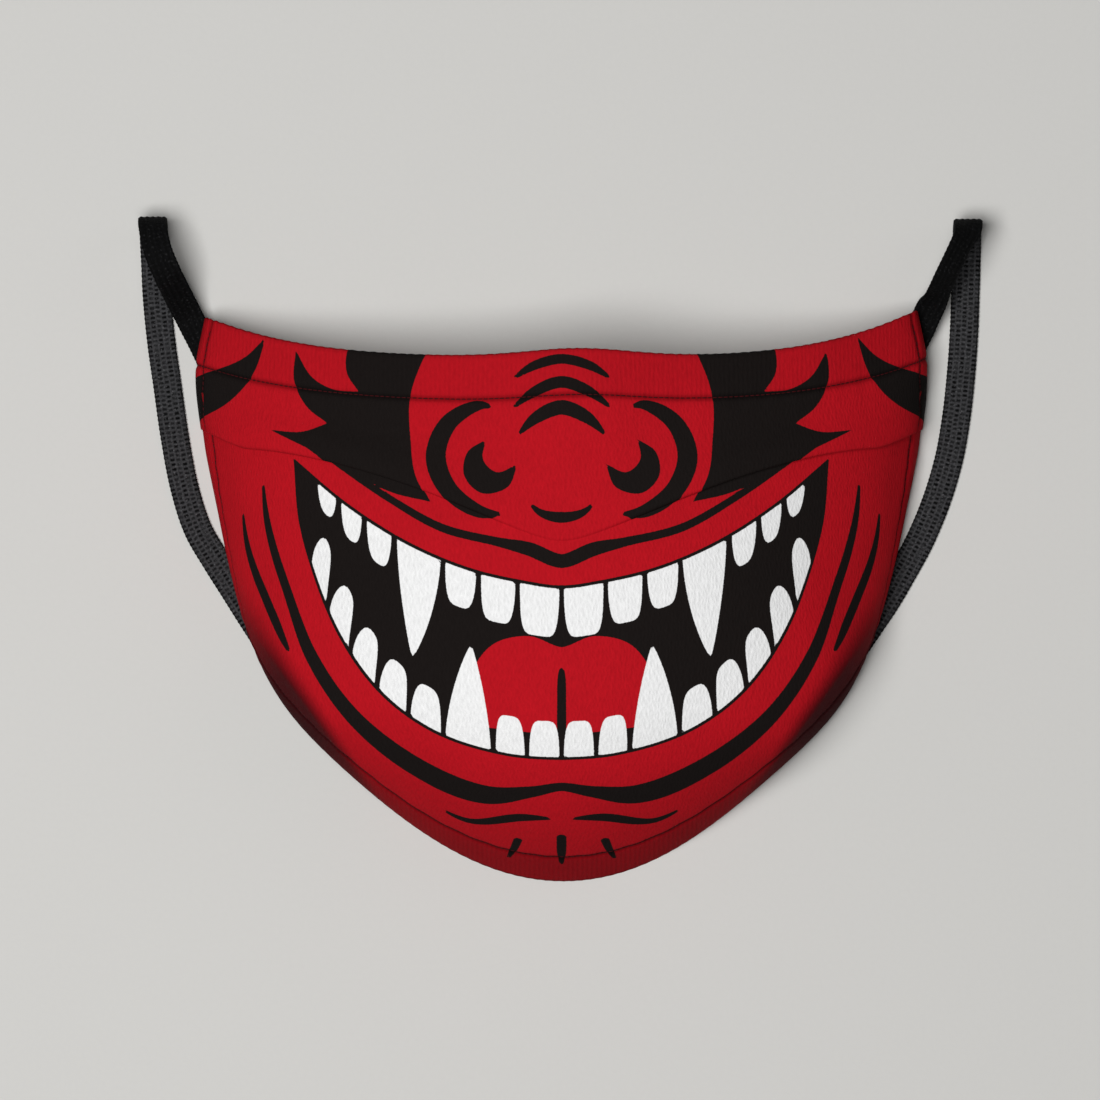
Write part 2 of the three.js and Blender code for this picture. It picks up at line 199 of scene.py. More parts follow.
# Rows and columns of the fine cloth
ROWS_ABOVE = 60  # from the top edge to the pleat
ROWS_IN_FOLD = 8  # in each of the pleat's two folds
ROWS_TURNED_BACK = 6  # between them
ROWS_PAST_FOLD = 18  # from the second fold to where rows are counted from the top again
ROWS_BELOW = 126
LOWER_START = PLEAT + 0.08
SEAM_ROWS = np.array([-0.008, -0.0045, -0.002, 0, 0.002, 0.0045, 0.008])  # beside a hem's seam
EVEN_ROW = 0.55  # columns are evenly spaced along this row
SAMPLES = 300  # places on a line whose length is measured

# Seams and lining
SIDE_SEAM = (0.012, 0.985)  # parts of the way down where a side seam starts and ends
SEAM_PAST_PLEAT = 0.015  # part of the way that it leaves out below the pleat
SEAM_MARGIN = 3  # columns that the hems' seams stay away from the side edges
LINING_INSETS = (0.012, 0.0145)  # parts of the way from the side seams and from the hems' seams
LINING_COLUMNS = 161
LINING_ROWS = 141
LINING_SLACK = 0.35  # millimetres of unevenness, in waves of these lengths for a radian
LINING_WAVES = (7.0, 15.0)

# Elastic: its cross section, from 0 in the middle to 1 at its edge, and its knitting
CROWDING = 1.15  # points stand closer together towards the edge
ROUNDNESS = 14  # power of the cross section's outline
FLATTEST = 0.02  # keeps its two faces apart at the edge
SELVEDGE = (0.86, 0.95)
EDGE_NOTCH = 0.12  # the edge steps in and out with the bars
BAR_DRIFT = ((1.1, 1.9, 5.3), (0.6, 2.7, 2.1))  # radians, change for each cord, length for a radian
PIT_LENGTH = (0.2, 0.7)  # a pit begins and is full at these parts of a bar's height
PIT_WIDTH = (0.02, 0.35)  # and of a cord's
FRONT_PITS = 0.35  # the front shows the pits this much
FRONT_SELVEDGE = 0.5  # the relief gets weaker by this at the front's selvedge
BACK_SELVEDGE = 0.75
BACK_OFFSET = 20.0  # the back's yarn is another part of the pattern than the front's

# Finish of the printed cloth, with threads drawn coarser than real ones, as the photo shows them
THREAD_WANDER = 2.4  # millimetres by which the raised threads wander sideways
THREAD_SLANT = 0.12  # and by which they slant for each millimetre up
THREAD_ROWS = 3.4  # length of two staggered rows of them, in thread spacings
THREAD_HEIGHT = 0.42
RIB_HEIGHT = 0.5
FIBRE_HEIGHT = 4.0
FIBRE_STRETCH = 0.36  # fibres are longer up the cloth than across it
RAGGED = 0.16  # millimetres by which the print's edges follow the threads
PRINT_BLUR = 0.05
# Painted shade: the colour is darkened in the bottom hem, where the cloth turns steeply down, and in each
# seam's groove
HEM_PAINTED_SHADE = 0.45
HEM_POWER = 4.0  # so that the top hem, with its weaker ribs, gets almost none of the painted shade
SEAM_PAINTED_SHADE = 0.6

# Finish of the lining
COTTON_PITCH = 1.0  # its threads are drawn coarser than they are, so that they show
SLUB_HEIGHT = 1.6


# Colours


def linear(code):
    """An sRGB hex colour as linear red, green and blue."""
    parts = [int(code[i:i + 2], 16) / 255 for i in (1, 3, 5)]
    return tuple(c / 12.92 if c <= 0.04045 else ((c + 0.055) / 1.055) ** 2.4 for c in parts)


def dimmed(colour, part):
    """A linear colour made darker to a part of its light, with its alpha of 1."""
    return (*[c * part for c in colour], 1)


# Small maths


def mix(start, end, part):
    """The value a part of the way from start to end."""
    return start + (end - start) * part


def smooth(low, high, value):
    """0 below low, 1 above high, and a soft step between them."""
    part = np.clip((value - low) / (high - low), 0, 1)
    return part * part * (3 - 2 * part)


def unit(vectors):
    """Vectors with a length of 1. One without length stays as it is."""
    return vectors / np.maximum(np.linalg.norm(vectors, axis=-1, keepdims=True), 1e-9)


def run_along(line):
    """Length along a line up to each of its points."""
    return np.concatenate([[0], np.cumsum(np.linalg.norm(np.diff(line, axis=0), axis=1))])


def wandering_wave(run, pitch, wander):
    """A wave along a length, with crests that aren't quite evenly spaced."""
    amount, over = wander
    return np.sin(2 * math.pi * run / pitch + amount * np.sin(run / over))


def read_table(table, column, at):
    """A smooth curve through one column of a short table."""
    rows, values = table[:, 0], table[:, column]
    before = np.maximum(np.arange(len(rows)) - 1, 0)
    after = np.minimum(np.arange(len(rows)) + 1, len(rows) - 1)
    slopes = (values[after] - values[before]) / (rows[after] - rows[before])
    i = np.clip(np.searchsorted(rows, at, side="left") - 1, 0, len(rows) - 2)
    span = rows[i + 1] - rows[i]
    p = (at - rows[i]) / span
    level = (2 * p**3 - 3 * p**2 + 1) * values[i] + (3 * p**2 - 2 * p**3) * values[i + 1]
    return level + (p**3 - 2 * p**2 + p) * span * slopes[i] + (p**3 - p**2) * span * slopes[i + 1]


def curve(points, step):
    """Places every step along a smooth line through a few points, whose further numbers go along."""
    p = np.array(points, float)
    ends = np.vstack([2 * p[0] - p[1], p, 2 * p[-1] - p[-2]])
    gaps = np.maximum(np.linalg.norm(np.diff(ends, axis=0), axis=1), 1e-6) ** 0.5
    knots = np.concatenate([[0], np.cumsum(gaps)])
    pieces = []
    for i in range(1, len(p)):
        t0, t1, t2, t3 = knots[i - 1:i + 3]
        p0, p1, p2, p3 = ends[i - 1:i + 3]
        count = max(2, round((t2 - t1) ** 2 / step))
        t = np.linspace(t1, t2, count, endpoint=False)[:, None]
        a1 = mix(p0, p1, (t - t0) / (t1 - t0))
        a2 = mix(p1, p2, (t - t1) / (t2 - t1))
        a3 = mix(p2, p3, (t - t2) / (t3 - t2))
        b1 = mix(a1, a2, (t - t0) / (t2 - t0))
        b2 = mix(a2, a3, (t - t1) / (t3 - t1))
        pieces.append(mix(b1, b2, (t - t1) / (t2 - t1)))
    return np.vstack(pieces + [p[-1:]])


def spaced(line, count):
    """A line's points moved to even distances."""
    run = run_along(line)
    at = np.linspace(0, run[-1], count)
    return np.column_stack([np.interp(at, run, line[:, k]) for k in range(line.shape[1])])


# Form of the cloth


def row_sag(across, row):
    """How a row hangs: 0 at the side edge, 1 in the middle."""
    top_edge = 1 - across**TOP_SQUARENESS
    inward = np.sqrt(across**2 + FOLD_ROUNDING**2) - FOLD_ROUNDING
    drop = FOLD_DROP * (1 - smooth(DROP_START, 1, across))
    fold = drop + (1 - FOLD_DROP) * np.maximum(0, 1 - inward / FOLD_REACH) ** FOLD_CURVE
    jaw = (1 - across**2) * (1 + JAW_FULLNESS * across**JAW_POWER)
    above = mix(top_edge, fold, smooth(0, PLEAT, row))
    below = mix(fold, jaw, smooth(PLEAT, JAW_FULL_ROW, row))
    return np.where(row < PLEAT, above, below)


def row_height(across, middle_y):
    """How full the front is along a row: 1 at the crown, 0 on the surface."""
    above = 1 - (BRIDGE_FALL / CROWN) * (middle_y / MIDDLE[0, 1]) ** 2
    down = np.clip(middle_y / MIDDLE[-1, 1], 0, 1)
    steepness = 1 - SIDE_STEEPNESS * smooth(*STEEP_SIDES, across)
    return np.where(middle_y > 0, above, (1 - down**CHIN_POWER) ** steepness)


def front(side, row):
    """Front of the cloth before it is pleated, from the left edge -1 to the right edge 1."""
    angle = side * math.pi / 2
    across = np.abs(np.sin(angle))
    x = np.sin(angle) * read_table(SIDE_EDGE, 1, row)
    middle_y = read_table(MIDDLE, 1, row)
    nose = np.exp(-(((x - NOSE_SHIFT) / NOSE_SPREAD) ** 2))
    y = mix(read_table(SIDE_EDGE, 2, row), middle_y, row_sag(across, row))
    near_top = 1 - smooth(0, NOSE_PEAK_END, row)
    y = y + NOSE_PEAK * nose * near_top
    y = y + RIGHT_RISE * smooth(RIGHT_RISE_START, 1, side) * near_top
    top_corner = TOP_CORNER_LIFT * (1 - smooth(*TOP_CORNER_ROWS, row))
    corner = top_corner + LOW_CORNER_LIFT * smooth(*LOW_CORNER_ROWS, row)
    z = smooth(CORNER_START, 1, np.abs(side)) * corner
    z = z + CROWN * np.cos(angle) * row_height(across, middle_y)
    z = z + NOSE_RISE * nose * (1 - smooth(0, NOSE_RISE_END, row))
    z = z + crease(x, y) * smooth(0, CREASE_FOOT, z)
    return np.stack([x, y, z], axis=-1)


def by_crease(x, y):
    """Places by the crease at their side: how far beyond it, and which part of its length along."""
    way = CREASE_END - CREASE_START
    length = np.linalg.norm(way)
    way = way / length
    from_start = np.stack([np.abs(x), y], axis=-1) - CREASE_START
    return from_start @ np.array([-way[1], way[0]]), (from_start @ way) / length


def crease(x, y):
    """Height that the sharp fold at each lower side adds to the front."""
    beyond, along = by_crease(x, y)
    rounded = np.sqrt(beyond**2 + CREASE_ROUNDING**2) - CREASE_ROUNDING
    fall = np.exp(-rounded / np.where(beyond > 0, CREASE_OUTWARD, CREASE_INWARD))
    return CREASE_HEIGHT * smooth(*CREASE_RISES, along) * (1 - smooth(*CREASE_FALLS, along)) * fall


def directions(side, row):
    """Out of the front, squarely down along the cloth, and millimetres for a unit of row."""
    near = 0.004
    inside = 0.985
    side = np.clip(side, -inside, inside)
    row = np.clip(row, near, inside)
    across_row = unit(front(side + near, row) - front(side - near, row))
    above, below = front(side, row - near), front(side, row + near)
    reach = np.linalg.norm(below - above, axis=-1) / (2 * near)
    out = unit(np.cross(unit(below - above), across_row))
    return out, unit(np.cross(across_row, out)), reach


def pleat_at(side):
    """Turn and radius of the pleat's folds, the way that it moves the cloth on, and its depth."""
    outward = np.abs(side)
    turn = mix(CENTRE_TURN, math.pi, smooth(0, TURN_COMPLETE, outward))
    radius = mix(TURN_RADIUS, PRESSED_RADIUS, smooth(*PRESSED, outward))
    lap = LAP * smooth(LAP_START, LAP_FULL, outward)
    shift = 2 * radius * np.sin(turn) + lap * np.cos(turn)
    depth = 2 * radius * (1 - np.cos(turn)) + lap * np.sin(turn)
    return turn, radius, shift, depth


def sunk_below(side, past):
    """Which part of its step down the cloth below the pleat still has, past millimetres on."""
    return 1 - smooth(0, mix(RECOVERY, PRESSED_RECOVERY, smooth(*PRESSED, np.abs(side))), past)


def even_sides(count):
    """Columns at about even distances along the cloth."""
    fine = np.linspace(0, 1, 400)
    run = run_along(front(fine, np.full_like(fine, EVEN_ROW))[:, [0, 2]])
    half = np.interp(np.linspace(0, run[-1], count // 2 + 1), run, fine)
    return np.concatenate([-half[:0:-1], half])


class ClothGrid:
    """Rows and columns of the printed cloth, folded at its pleat, with both of its skins."""

    def __init__(self, columns, thickness, hem_thickness):
        self.sides = even_sides(columns)
        self.thickness = thickness
        self.hem_thickness = hem_thickness
        self.lay_stations()
        self.measure()
        self.raise_skins()

    def lay_stations(self):
        """Places on the front, how far past and below them the cloth is, and how far it is turned."""
        sides = self.sides
        for seam in (-SIDE_HEM, SIDE_HEM):
            sides[np.argmin(np.abs(sides - seam))] = seam
        turn, radius, shift, pleat_depth = pleat_at(sides)
        swell = pleat_depth / 2
        reach = directions(sides, np.full_like(sides, PLEAT))[2]
        upper = np.concatenate([np.linspace(0, PLEAT, ROWS_ABOVE), TOP_HEM + SEAM_ROWS])
        lower = np.concatenate([np.linspace(LOWER_START, 1, ROWS_BELOW), BOTTOM_HEM + SEAM_ROWS])
        rows = []

        def station(row, past, depth, angle):
            """One row of points, with values for all of it or for each column."""
            rows.append([np.broadcast_to(v, sides.shape) for v in (row, past, depth, angle)])

        for row in np.unique(np.round(upper, 5)):
            station(row, 0, -swell * (1 - smooth(0, SWELL, (PLEAT - row) * reach)), 0)
        steps = np.linspace(0, 1, ROWS_IN_FOLD)
        turned_in = radius * np.sin(turn)
        turned_down = radius * (1 - np.cos(turn))
        for part in steps[1:]:
            bend = turn * part
            station(PLEAT, radius * np.sin(bend), radius * (1 - np.cos(bend)) - swell, bend)
        for part in np.linspace(0, 1, ROWS_TURNED_BACK)[1:-1]:
            past = mix(turned_in, shift - turned_in, part)
            station(PLEAT, past, mix(turned_down, pleat_depth - turned_down, part) - swell, turn)
        for part in steps:
            bend = turn * (1 - part)
            depth = pleat_depth - radius * (1 - np.cos(bend)) - swell
            station(PLEAT, shift - radius * np.sin(bend), depth, bend)
        for part in np.linspace(0, 1, ROWS_PAST_FOLD)[1:-1]:
            past = mix(shift, (LOWER_START - PLEAT) * reach, part)
            station(PLEAT, past, swell * sunk_below(sides, past), 0)
        for row in np.unique(np.round(lower, 5)):
            past = (row - PLEAT) * reach
            station(row, 0, swell * sunk_below(sides, past), 0)
        row, past, depth, angle = (np.array([r[k] for r in rows]) for k in range(4))
        self.side = np.broadcast_to(sides, row.shape)
        self.place = row + past / reach
        self.depth, self.angle = depth, angle
        self.free = (angle == 0) & (past <= 0)

    def measure(self):
        """Lengths along the cloth in millimetres: across from the middle, and up the front, where
        the pleat's row keeps its height on the page."""
        base = front(self.side, self.place)
        steps = np.linalg.norm(np.diff(base[:, :, [0, 2]], axis=1), axis=2)
        across = np.concatenate([np.zeros((len(base), 1)), np.cumsum(steps, axis=1)], axis=1)
        middle = base.shape[1] // 2
        self.across = across - across[:, middle:middle + 1]
        levels = np.linspace(0, 1, SAMPLES)
        self.up = np.empty_like(self.across)
        for j, side in enumerate(self.sides):
            column = front(np.full_like(levels, side), levels)
            run = run_along(column[:, 1:])
            at_pleat = np.interp(PLEAT, levels, run)
            level = front(np.array([side]), np.array([PLEAT]))[0, 1]
            self.up[:, j] = level + at_pleat - np.interp(self.place[:, j], levels, run)
        self.base = base

    def seam_distance(self):
        """Distances to the nearest hem's seam and to the side seam, in millimetres."""
        reach = directions(self.side, self.place)[2]
        to_top = np.abs(self.place - TOP_HEM) * reach
        to_bottom = np.abs(self.place - BOTTOM_HEM) * reach
        near = 0.01
        speed = front(self.side + near, self.place) - front(self.side - near, self.place)
        to_side = np.abs(np.abs(self.side) - SIDE_HEM) * np.linalg.norm(speed, axis=-1) / (2 * near)
        return np.minimum(to_top, to_bottom), to_side

    def raise_skins(self):
        """Outer and inner skin, with seams pulled in, waves beside them and double cloth in the hems."""
        out, square = directions(self.side, self.place)[:2]
        cosine, sine = np.cos(self.angle)[..., None], np.sin(self.angle)[..., None]
        normal = out * cosine + square * sine
        half = mix(self.thickness, PRESSED_THICKNESS, smooth(*PRESSED, np.abs(self.side))) / 2
        middle = self.base - out * (self.depth + half)[..., None]
        to_hem, to_side = self.seam_distance()
        wave = wandering_wave(self.across, PUCKER_PITCH, PUCKER_WANDER)
        wave = wave * np.exp(-((to_hem / PUCKER_REACH) ** 2))
        upright = np.sin(2 * math.pi * self.up / PUCKER_PITCH) * np.exp(-((to_side / PUCKER_REACH) ** 2))
        self.seam = np.exp(-((np.minimum(to_hem, to_side) / GROOVE_WIDTH) ** 2))
        lift = PUCKER * (wave + upright) - STITCH_GROOVE * self.seam
        slack = SLACK * np.sin(self.across / SLACK_LENGTHS[0] + SLACK_SHIFTS[0])
        lift = lift + slack * np.sin(self.up / SLACK_LENGTHS[1] + SLACK_SHIFTS[1])
        outer = middle + normal * (half + lift)[..., None]
        edges = [0, -1]
        ribs = wandering_wave(self.across[edges], EDGE_WAVE_PITCH, EDGE_WANDER)
        outer[edges] += (EDGE_WAVE * ribs)[..., None] * square[edges]
        at_top = 1 - smooth(TOP_HEM, TOP_HEM + HEM_STEP, self.place)
        at_bottom = smooth(BOTTOM_HEM - HEM_STEP, BOTTOM_HEM, self.place)
        at_side = smooth(SIDE_HEM - HEM_STEP, SIDE_HEM, np.abs(self.side)) * self.free
        self.hem = TOP_RIBS * at_top + at_bottom
        folded = np.maximum(np.maximum(at_top, at_bottom), at_side)
        inward = half + (self.hem_thickness - self.thickness) * folded
        inner = middle - normal * (inward - PUCKER * wave)[..., None]
        level = out[-1] * [1, 1, 0]
        width = self.hem_thickness / np.maximum(LEAST_SLOPE, np.linalg.norm(level, axis=-1))
        inner[-1] = outer[-1] - unit(level) * width[:, None]
        outer[..., 2] = np.maximum(outer[..., 2], 0)
        inner[..., 2] = np.maximum(inner[..., 2], 0)
        self.outer, self.inner, self.normal = outer, inner, normal


def skin_faces(height, width, first, turned=False):
    """Quads of a grid of points whose numbers start at first."""
    i, j = np.meshgrid(np.arange(height - 1), np.arange(width - 1), indexing="ij")
    a = (first + i * width + j).ravel()
    quads = np.column_stack([a, a + width, a + width + 1, a + 1])
    return quads[:, ::-1].tolist() if turned else quads.tolist()


def edge_loop(grid):
    """A grid's border, once round: down the left side, along the bottom, up the right, and back."""
    return np.concatenate([grid[:, 0], grid[-1, 1:], grid[-2::-1, -1], grid[0, -2:0:-1]])


def closed_sheet(outer, inner, bulge):
    """Points and faces of a cloth with a fine outer skin, an inner one of half as many rows and
    columns, and a rounded edge between the two."""
    coarse_rows = np.unique(np.append(np.arange(0, len(outer), 2), len(outer) - 1))
    coarse = inner[coarse_rows][:, ::2]
    height, width = outer.shape[:2]
    rim_outer = edge_loop(np.arange(height * width).reshape(height, width))
    points = outer.reshape(-1, 3)
    at_outer, at_inner = edge_loop(outer), edge_loop(inner)
    middle = (at_outer + at_inner) / 2
    upward = np.zeros_like(outer)
    upward[0] = outer[0] - outer[1]
    upward[-1] = outer[-1] - outer[-2]
    sideways = np.zeros_like(outer)
    sideways[:, 0] = outer[:, 0] - outer[:, 1]
    sideways[:, -1] = outer[:, -1] - outer[:, -2]
    way = unit(unit(edge_loop(upward)) + unit(edge_loop(sideways)))
    half = np.linalg.norm(at_outer - at_inner, axis=1, keepdims=True) / 2
    middle = middle + way * half * bulge
    middle[:, 2] = np.maximum(middle[:, 2], 0)
    first_middle = len(points)
    first_inner = first_middle + len(middle)
    numbers = first_inner + np.arange(coarse.shape[0] * coarse.shape[1]).reshape(coarse.shape[:2])
    rows_there, columns_there = np.full(height, -1), np.full(width, -1)
    rows_there[coarse_rows] = np.arange(len(coarse_rows))
    columns_there[::2] = np.arange(coarse.shape[1])
    i, j = np.meshgrid(rows_there, columns_there, indexing="ij")
    known = np.where((i >= 0) & (j >= 0), numbers[np.maximum(i, 0), np.maximum(j, 0)], -1)
    rim_inner = edge_loop(known)
    faces = skin_faces(height, width, 0)
    faces += skin_faces(coarse.shape[0], coarse.shape[1], first_inner, turned=True)
    count = len(rim_outer)
    for k in range(count):
        after = (k + 1) % count
        quad = (rim_outer[after], rim_outer[k], first_middle + k, first_middle + after)
        faces.append([int(n) for n in quad])
    corners = [k for k in range(count) if rim_inner[k] >= 0]
    for k, after in zip(corners, corners[1:] + [corners[0] + count]):
        ring = [first_middle + m % count for m in range(after, k - 1, -1)]
        faces.append([*ring, int(rim_inner[k]), int(rim_inner[after % count])])
    return np.vstack([points, middle, coarse.reshape(-1, 3)]), faces, coarse_rows


# Printed picture


# A demon's grin in the old theatre-mask manner, drawn as its right half. Places are millimetres
# seen from the front, and a brush stroke's third number is its half width.
GUM_ABOVE = [(-6, 4.6), (0, 3.4), (8, 4.4), (20, 7.2), (33, 12.6), (46, 20.6), (58.5, 31)]
GUM_BELOW = [(58.5, 31), (57, 16), (50.5, -3), (40, -19), (27, -29), (12, -33.6), (0, -34.5), (-6, -34.4)]
MOUTH = [GUM_ABOVE, GUM_BELOW]
TONGUE = [
    [(-6, -9), (0, -10), (7, -7.6), (15, -9.5), (20, -17), (20, -27)],
    [(20, -27), (0, -29), (-6, -29)],
]
TONGUE_LINE = [(0, -13, 0), (0.1, -16, 0.7), (0, -23, 1), (0, -30, 1)]

# Teeth: start and end along the gum, length, bluntness, fall of the crown, lean
TEETH_ABOVE = [
    (0.5, 9, 11.5, 6, 0.4, 0.2),
    (10, 17.4, 10.2, 5, 0.42, 0.3),
    (18.5, 25.2, 9.2, 4, 0.45, 0.3),
    (26.2, 35.8, 24, 1.15, 0.62, 1.2),
    (37, 42.4, 8.5, 3.2, 0.5, 0),
    (43.5, 48, 7.5, 3, 0.5, 0),
    (49.1, 53.2, 6.2, 2.6, 0.55, 0),
]
TEETH_BELOW = [
    (0.5, 7, 8.4, 5, 0.42, 0),
    (8, 14.2, 8.8, 4.5, 0.42, 0.2),
    (15.3, 25, 22, 1.15, 0.62, -0.6),
    (26, 32.4, 9, 3.6, 0.48, -0.6),
    (33.4, 39.1, 9, 3.4, 0.48, -1.2),
    (40.1, 45, 9, 3, 0.5, -1.8),
    (45.9, 50.2, 9.5, 2.8, 0.5, -2.2),
    (51, 54.4, 10, 2.6, 0.5, -2),
]
BRUSH_STROKES = [
    # lips
    [(-5, 10.2, 1.3), (0, 8.6, 1.5), (7, 11.2, 1.5), (14, 12.8, 1), (26, 15.8, 0.9), (38, 22.4, 0.8),
     (50, 30.6, 0.7), (60, 37.5, 0)],
    [(65.5, 30.5, 0), (64, 16, 1), (57.5, -4, 1.3), (46.5, -22.5, 1.6), (31.5, -37, 2.7), (17, -42.6, 3),
     (7, -41.6, 1.7), (0, -40.4, 1.2), (-5, -41, 1.4)],
    # fold of the cheek
    [(70, 23, 0), (69, 12, 1), (65.4, 1, 1.3), (61, -7, 1), (56.6, -13.4, 0)],
    # chin
    [(0, -47.5, 0), (9, -47.4, 1.4), (20, -49.3, 1.1), (28, -46.4, 0)],
    [(0, -51.5, 1.1), (0, -55, 1), (0, -59, 0)],
    [(9.5, -52.6, 1), (10.6, -55.2, 0.8), (12.6, -58.6, 0)],
    # furrows of the brow, tip of the nose and its wings
    [(-4, 40.5, 1.4), (0, 41.8, 1.6), (5.5, 39.6, 1.3), (10.5, 34.8, 0)],
    [(-4, 46, 1.1), (0, 47.3, 1.3), (6, 45.2, 1.1), (12.5, 40.2, 0)],
    [(-4, 51.4, 1), (0, 52.3, 1.1), (6.2, 50.8, 1), (12, 47.2, 0.1)],
    [(-4, 19, 1), (0, 18, 1.2), (4.5, 19, 0.8), (8, 22.2, 0)],
    [(11.5, 18.6, 0), (18, 19.4, 1.4), (24.5, 24.2, 2), (27.2, 31.5, 2.2), (24.6, 38.6, 1.9),
     (18.2, 42.4, 1.1), (14.2, 41.8, 0)],
]
NOSTRIL = [
    [(9.5, 29.6), (11.6, 24.6), (17.2, 23.2), (21, 27), (20.4, 32.2), (16.4, 35)],
    [(16.4, 35), (17, 30.6), (14, 27.8), (9.5, 29.6)],
]
FLAME = [
    [(28.5, 21.4), (38, 23.8), (50, 30.8), (62, 37)],
    [(62, 37), (55.5, 36.6), (50.5, 38.6)],
    [(50.5, 38.6), (55, 42.4), (57.6, 48), (57.4, 54.6)],
    [(57.4, 54.6), (54, 48.9), (49.6, 46.2), (44, 45.6)],
    [(44, 45.6), (46.5, 49.6), (46.6, 54), (44.5, 60)],
    [(44.5, 60), (26, 60)],
    [(26, 60), (30.5, 52), (33, 44), (32.6, 34), (31.4, 27), (28.5, 21.4)],
]
LOCK = [
    [(84, 38.5), (76.5, 39.6), (70.5, 43.4), (66, 49.4), (63.6, 57.6)],
    [(63.6, 57.6), (67.6, 53), (72, 50.6), (77, 50), (84, 50.5)],
]
# Painted shade: beyond the crease at each lower side, where the wall turns steeply down, the print's red
# is darkened to a dark red
SHADE_FADE = (5.5, 1.6)  # the red darkens over these lengths before the crease, at its two ends
SHADE_FULL = 1.0  # and is dark this far beyond it
SHADE_STARTS = (-0.45, 0.35)  # parts of the crease over which the dark red comes in
SHADE_ENDS = (0.55, 1.5)  # and over which it goes out again
PRINT_ROW = 0.5  # the print's widths are measured along this row
FINEST_STROKE = 0.42  # half width of a brush stroke's tip
TOOTH_MARGIN = 0.7  # black between the teeth's roots and the lips
FAR = 4.0  # distances to a shape's edge are kept up to here


def on_cloth(points):
    """Places seen from the front as lengths along the cloth, so that lines keep their width."""
    places = np.array(points, float)
    levels = np.linspace(0, 1, SAMPLES)
    across = front(levels, np.full_like(levels, PRINT_ROW))
    across_run = run_along(across[:, [0, 2]])
    down = front(np.zeros_like(levels), levels)
    run = run_along(down[:, 1:])
    level = MIDDLE[2, 1] + np.interp(PLEAT, levels, run)
    sideways = np.interp(np.abs(places[:, 0]), across[:, 0], across_run) * np.sign(places[:, 0])
    beyond = np.maximum(np.abs(places[:, 0]) - across[-1, 0], 0)
    upward = level - np.interp(-places[:, 1], -down[:, 1], run) + np.maximum(places[:, 1] - down[0, 1], 0)
    upward = upward - np.maximum(down[-1, 1] - places[:, 1], 0)
    moved = places.copy()
    moved[:, 0] = sideways + beyond
    moved[:, 1] = upward
    return moved


def outline(runs):
    """A closed outline. Each run is a smooth curve, and runs meet in corners."""
    return np.vstack([curve(on_cloth(run), 0.5)[:-1] for run in runs])


def inside_outline(at, line):
    """Distance inside a closed outline for each place, negative outside."""
    result = np.full(len(at), -FAR)
    near = np.all((at > line.min(0) - FAR) & (at < line.max(0) + FAR), axis=1)
    x, y = at[near].T
    best = np.full(len(x), np.inf)
    odd = np.zeros(len(x), bool)
    for (ax, ay), (bx, by) in zip(line, np.roll(line, -1, axis=0)):
        ex, ey = bx - ax, by - ay
        dx, dy = x - ax, y - ay
        part = np.clip((dx * ex + dy * ey) / max(ex * ex + ey * ey, 1e-12), 0, 1)
        best = np.minimum(best, (dx - part * ex) ** 2 + (dy - part * ey) ** 2)
        if ay != by:
            odd ^= ((ay > y) != (by > y)) & (dx < ex * dy / ey)
    distance = np.sqrt(best)
    result[near] = np.maximum(np.where(odd, distance, -distance), -FAR)
    return result


def inside_stroke(at, points):
    """Distance inside a brush stroke that swells and tapers."""
    line = curve(on_cloth(points), 0.35)
    line = line[line[:, 2] >= FINEST_STROKE]
    result = np.full(len(at), -FAR)
    reach = FAR + line[:, 2].max()
    near = np.all((at > line[:, :2].min(0) - reach) & (at < line[:, :2].max(0) + reach), axis=1)
    x, y = at[near].T
    best = np.full(len(x), -FAR)
    for px, py, half_width in line:
        best = np.maximum(best, half_width - np.hypot(x - px, y - py))
    result[near] = best
    return result


def tooth(gum, way, start, end, length, bluntness, fall, lean):
    """Outline of a tooth standing on a gum line; way is 1 up and -1 down."""
    part = 0.5 - 0.5 * np.cos(np.linspace(0, math.pi, 40))
    x = mix(start, end, part)
    order = np.argsort(gum[:, 0])
    root = np.column_stack([x, np.interp(x, gum[order, 0], gum[order, 1])])
    grown = (1 - np.abs(2 * part - 1) ** bluntness) ** fall
    chord = mix(root[0], root[-1], part[:, None])
    crown = root + np.column_stack([lean * grown**2, way * length * grown + (chord - root)[:, 1] * grown])
    return on_cloth(np.vstack([root[::-1], crown]))


def print_areas(across, up):
    """Distances inside the black and the white of the print, in millimetres."""
    at = np.column_stack([np.abs(across).ravel(), up.ravel()])
    mouth = inside_outline(at, outline(MOUTH))
    tongue = np.minimum(inside_outline(at, outline(TONGUE)), -inside_stroke(at, TONGUE_LINE))
    black = np.minimum(mouth, -tongue)
    for stroke in BRUSH_STROKES:
        black = np.maximum(black, inside_stroke(at, stroke))
    for shape in (NOSTRIL, FLAME, LOCK):
        black = np.maximum(black, inside_outline(at, outline(shape)))
    white = np.full(len(at), -FAR)
    for gum, way, teeth in ((GUM_ABOVE, -1, TEETH_ABOVE), (GUM_BELOW, 1, TEETH_BELOW)):
        line = curve(gum, 0.25)
        for sizes in teeth:
            white = np.maximum(white, inside_outline(at, tooth(line, way, *sizes)))
    white = np.minimum(white, mouth - TOOTH_MARGIN)
    return black.reshape(across.shape), white.reshape(across.shape)


def painted_crease_shade(base):
    """Painted shade, laid into the print as dark red: from the crease at each lower side down to the
    edge, where the wall turns steeply away.
    """
    beyond, along = by_crease(base[..., 0], base[..., 1])
    before = mix(*SHADE_FADE, np.clip(along, 0, 1))
    shade = smooth(-before, SHADE_FULL, beyond) * smooth(*SHADE_STARTS, along)
    return shade * (1 - smooth(*SHADE_ENDS, along))


# Meshes and nodes


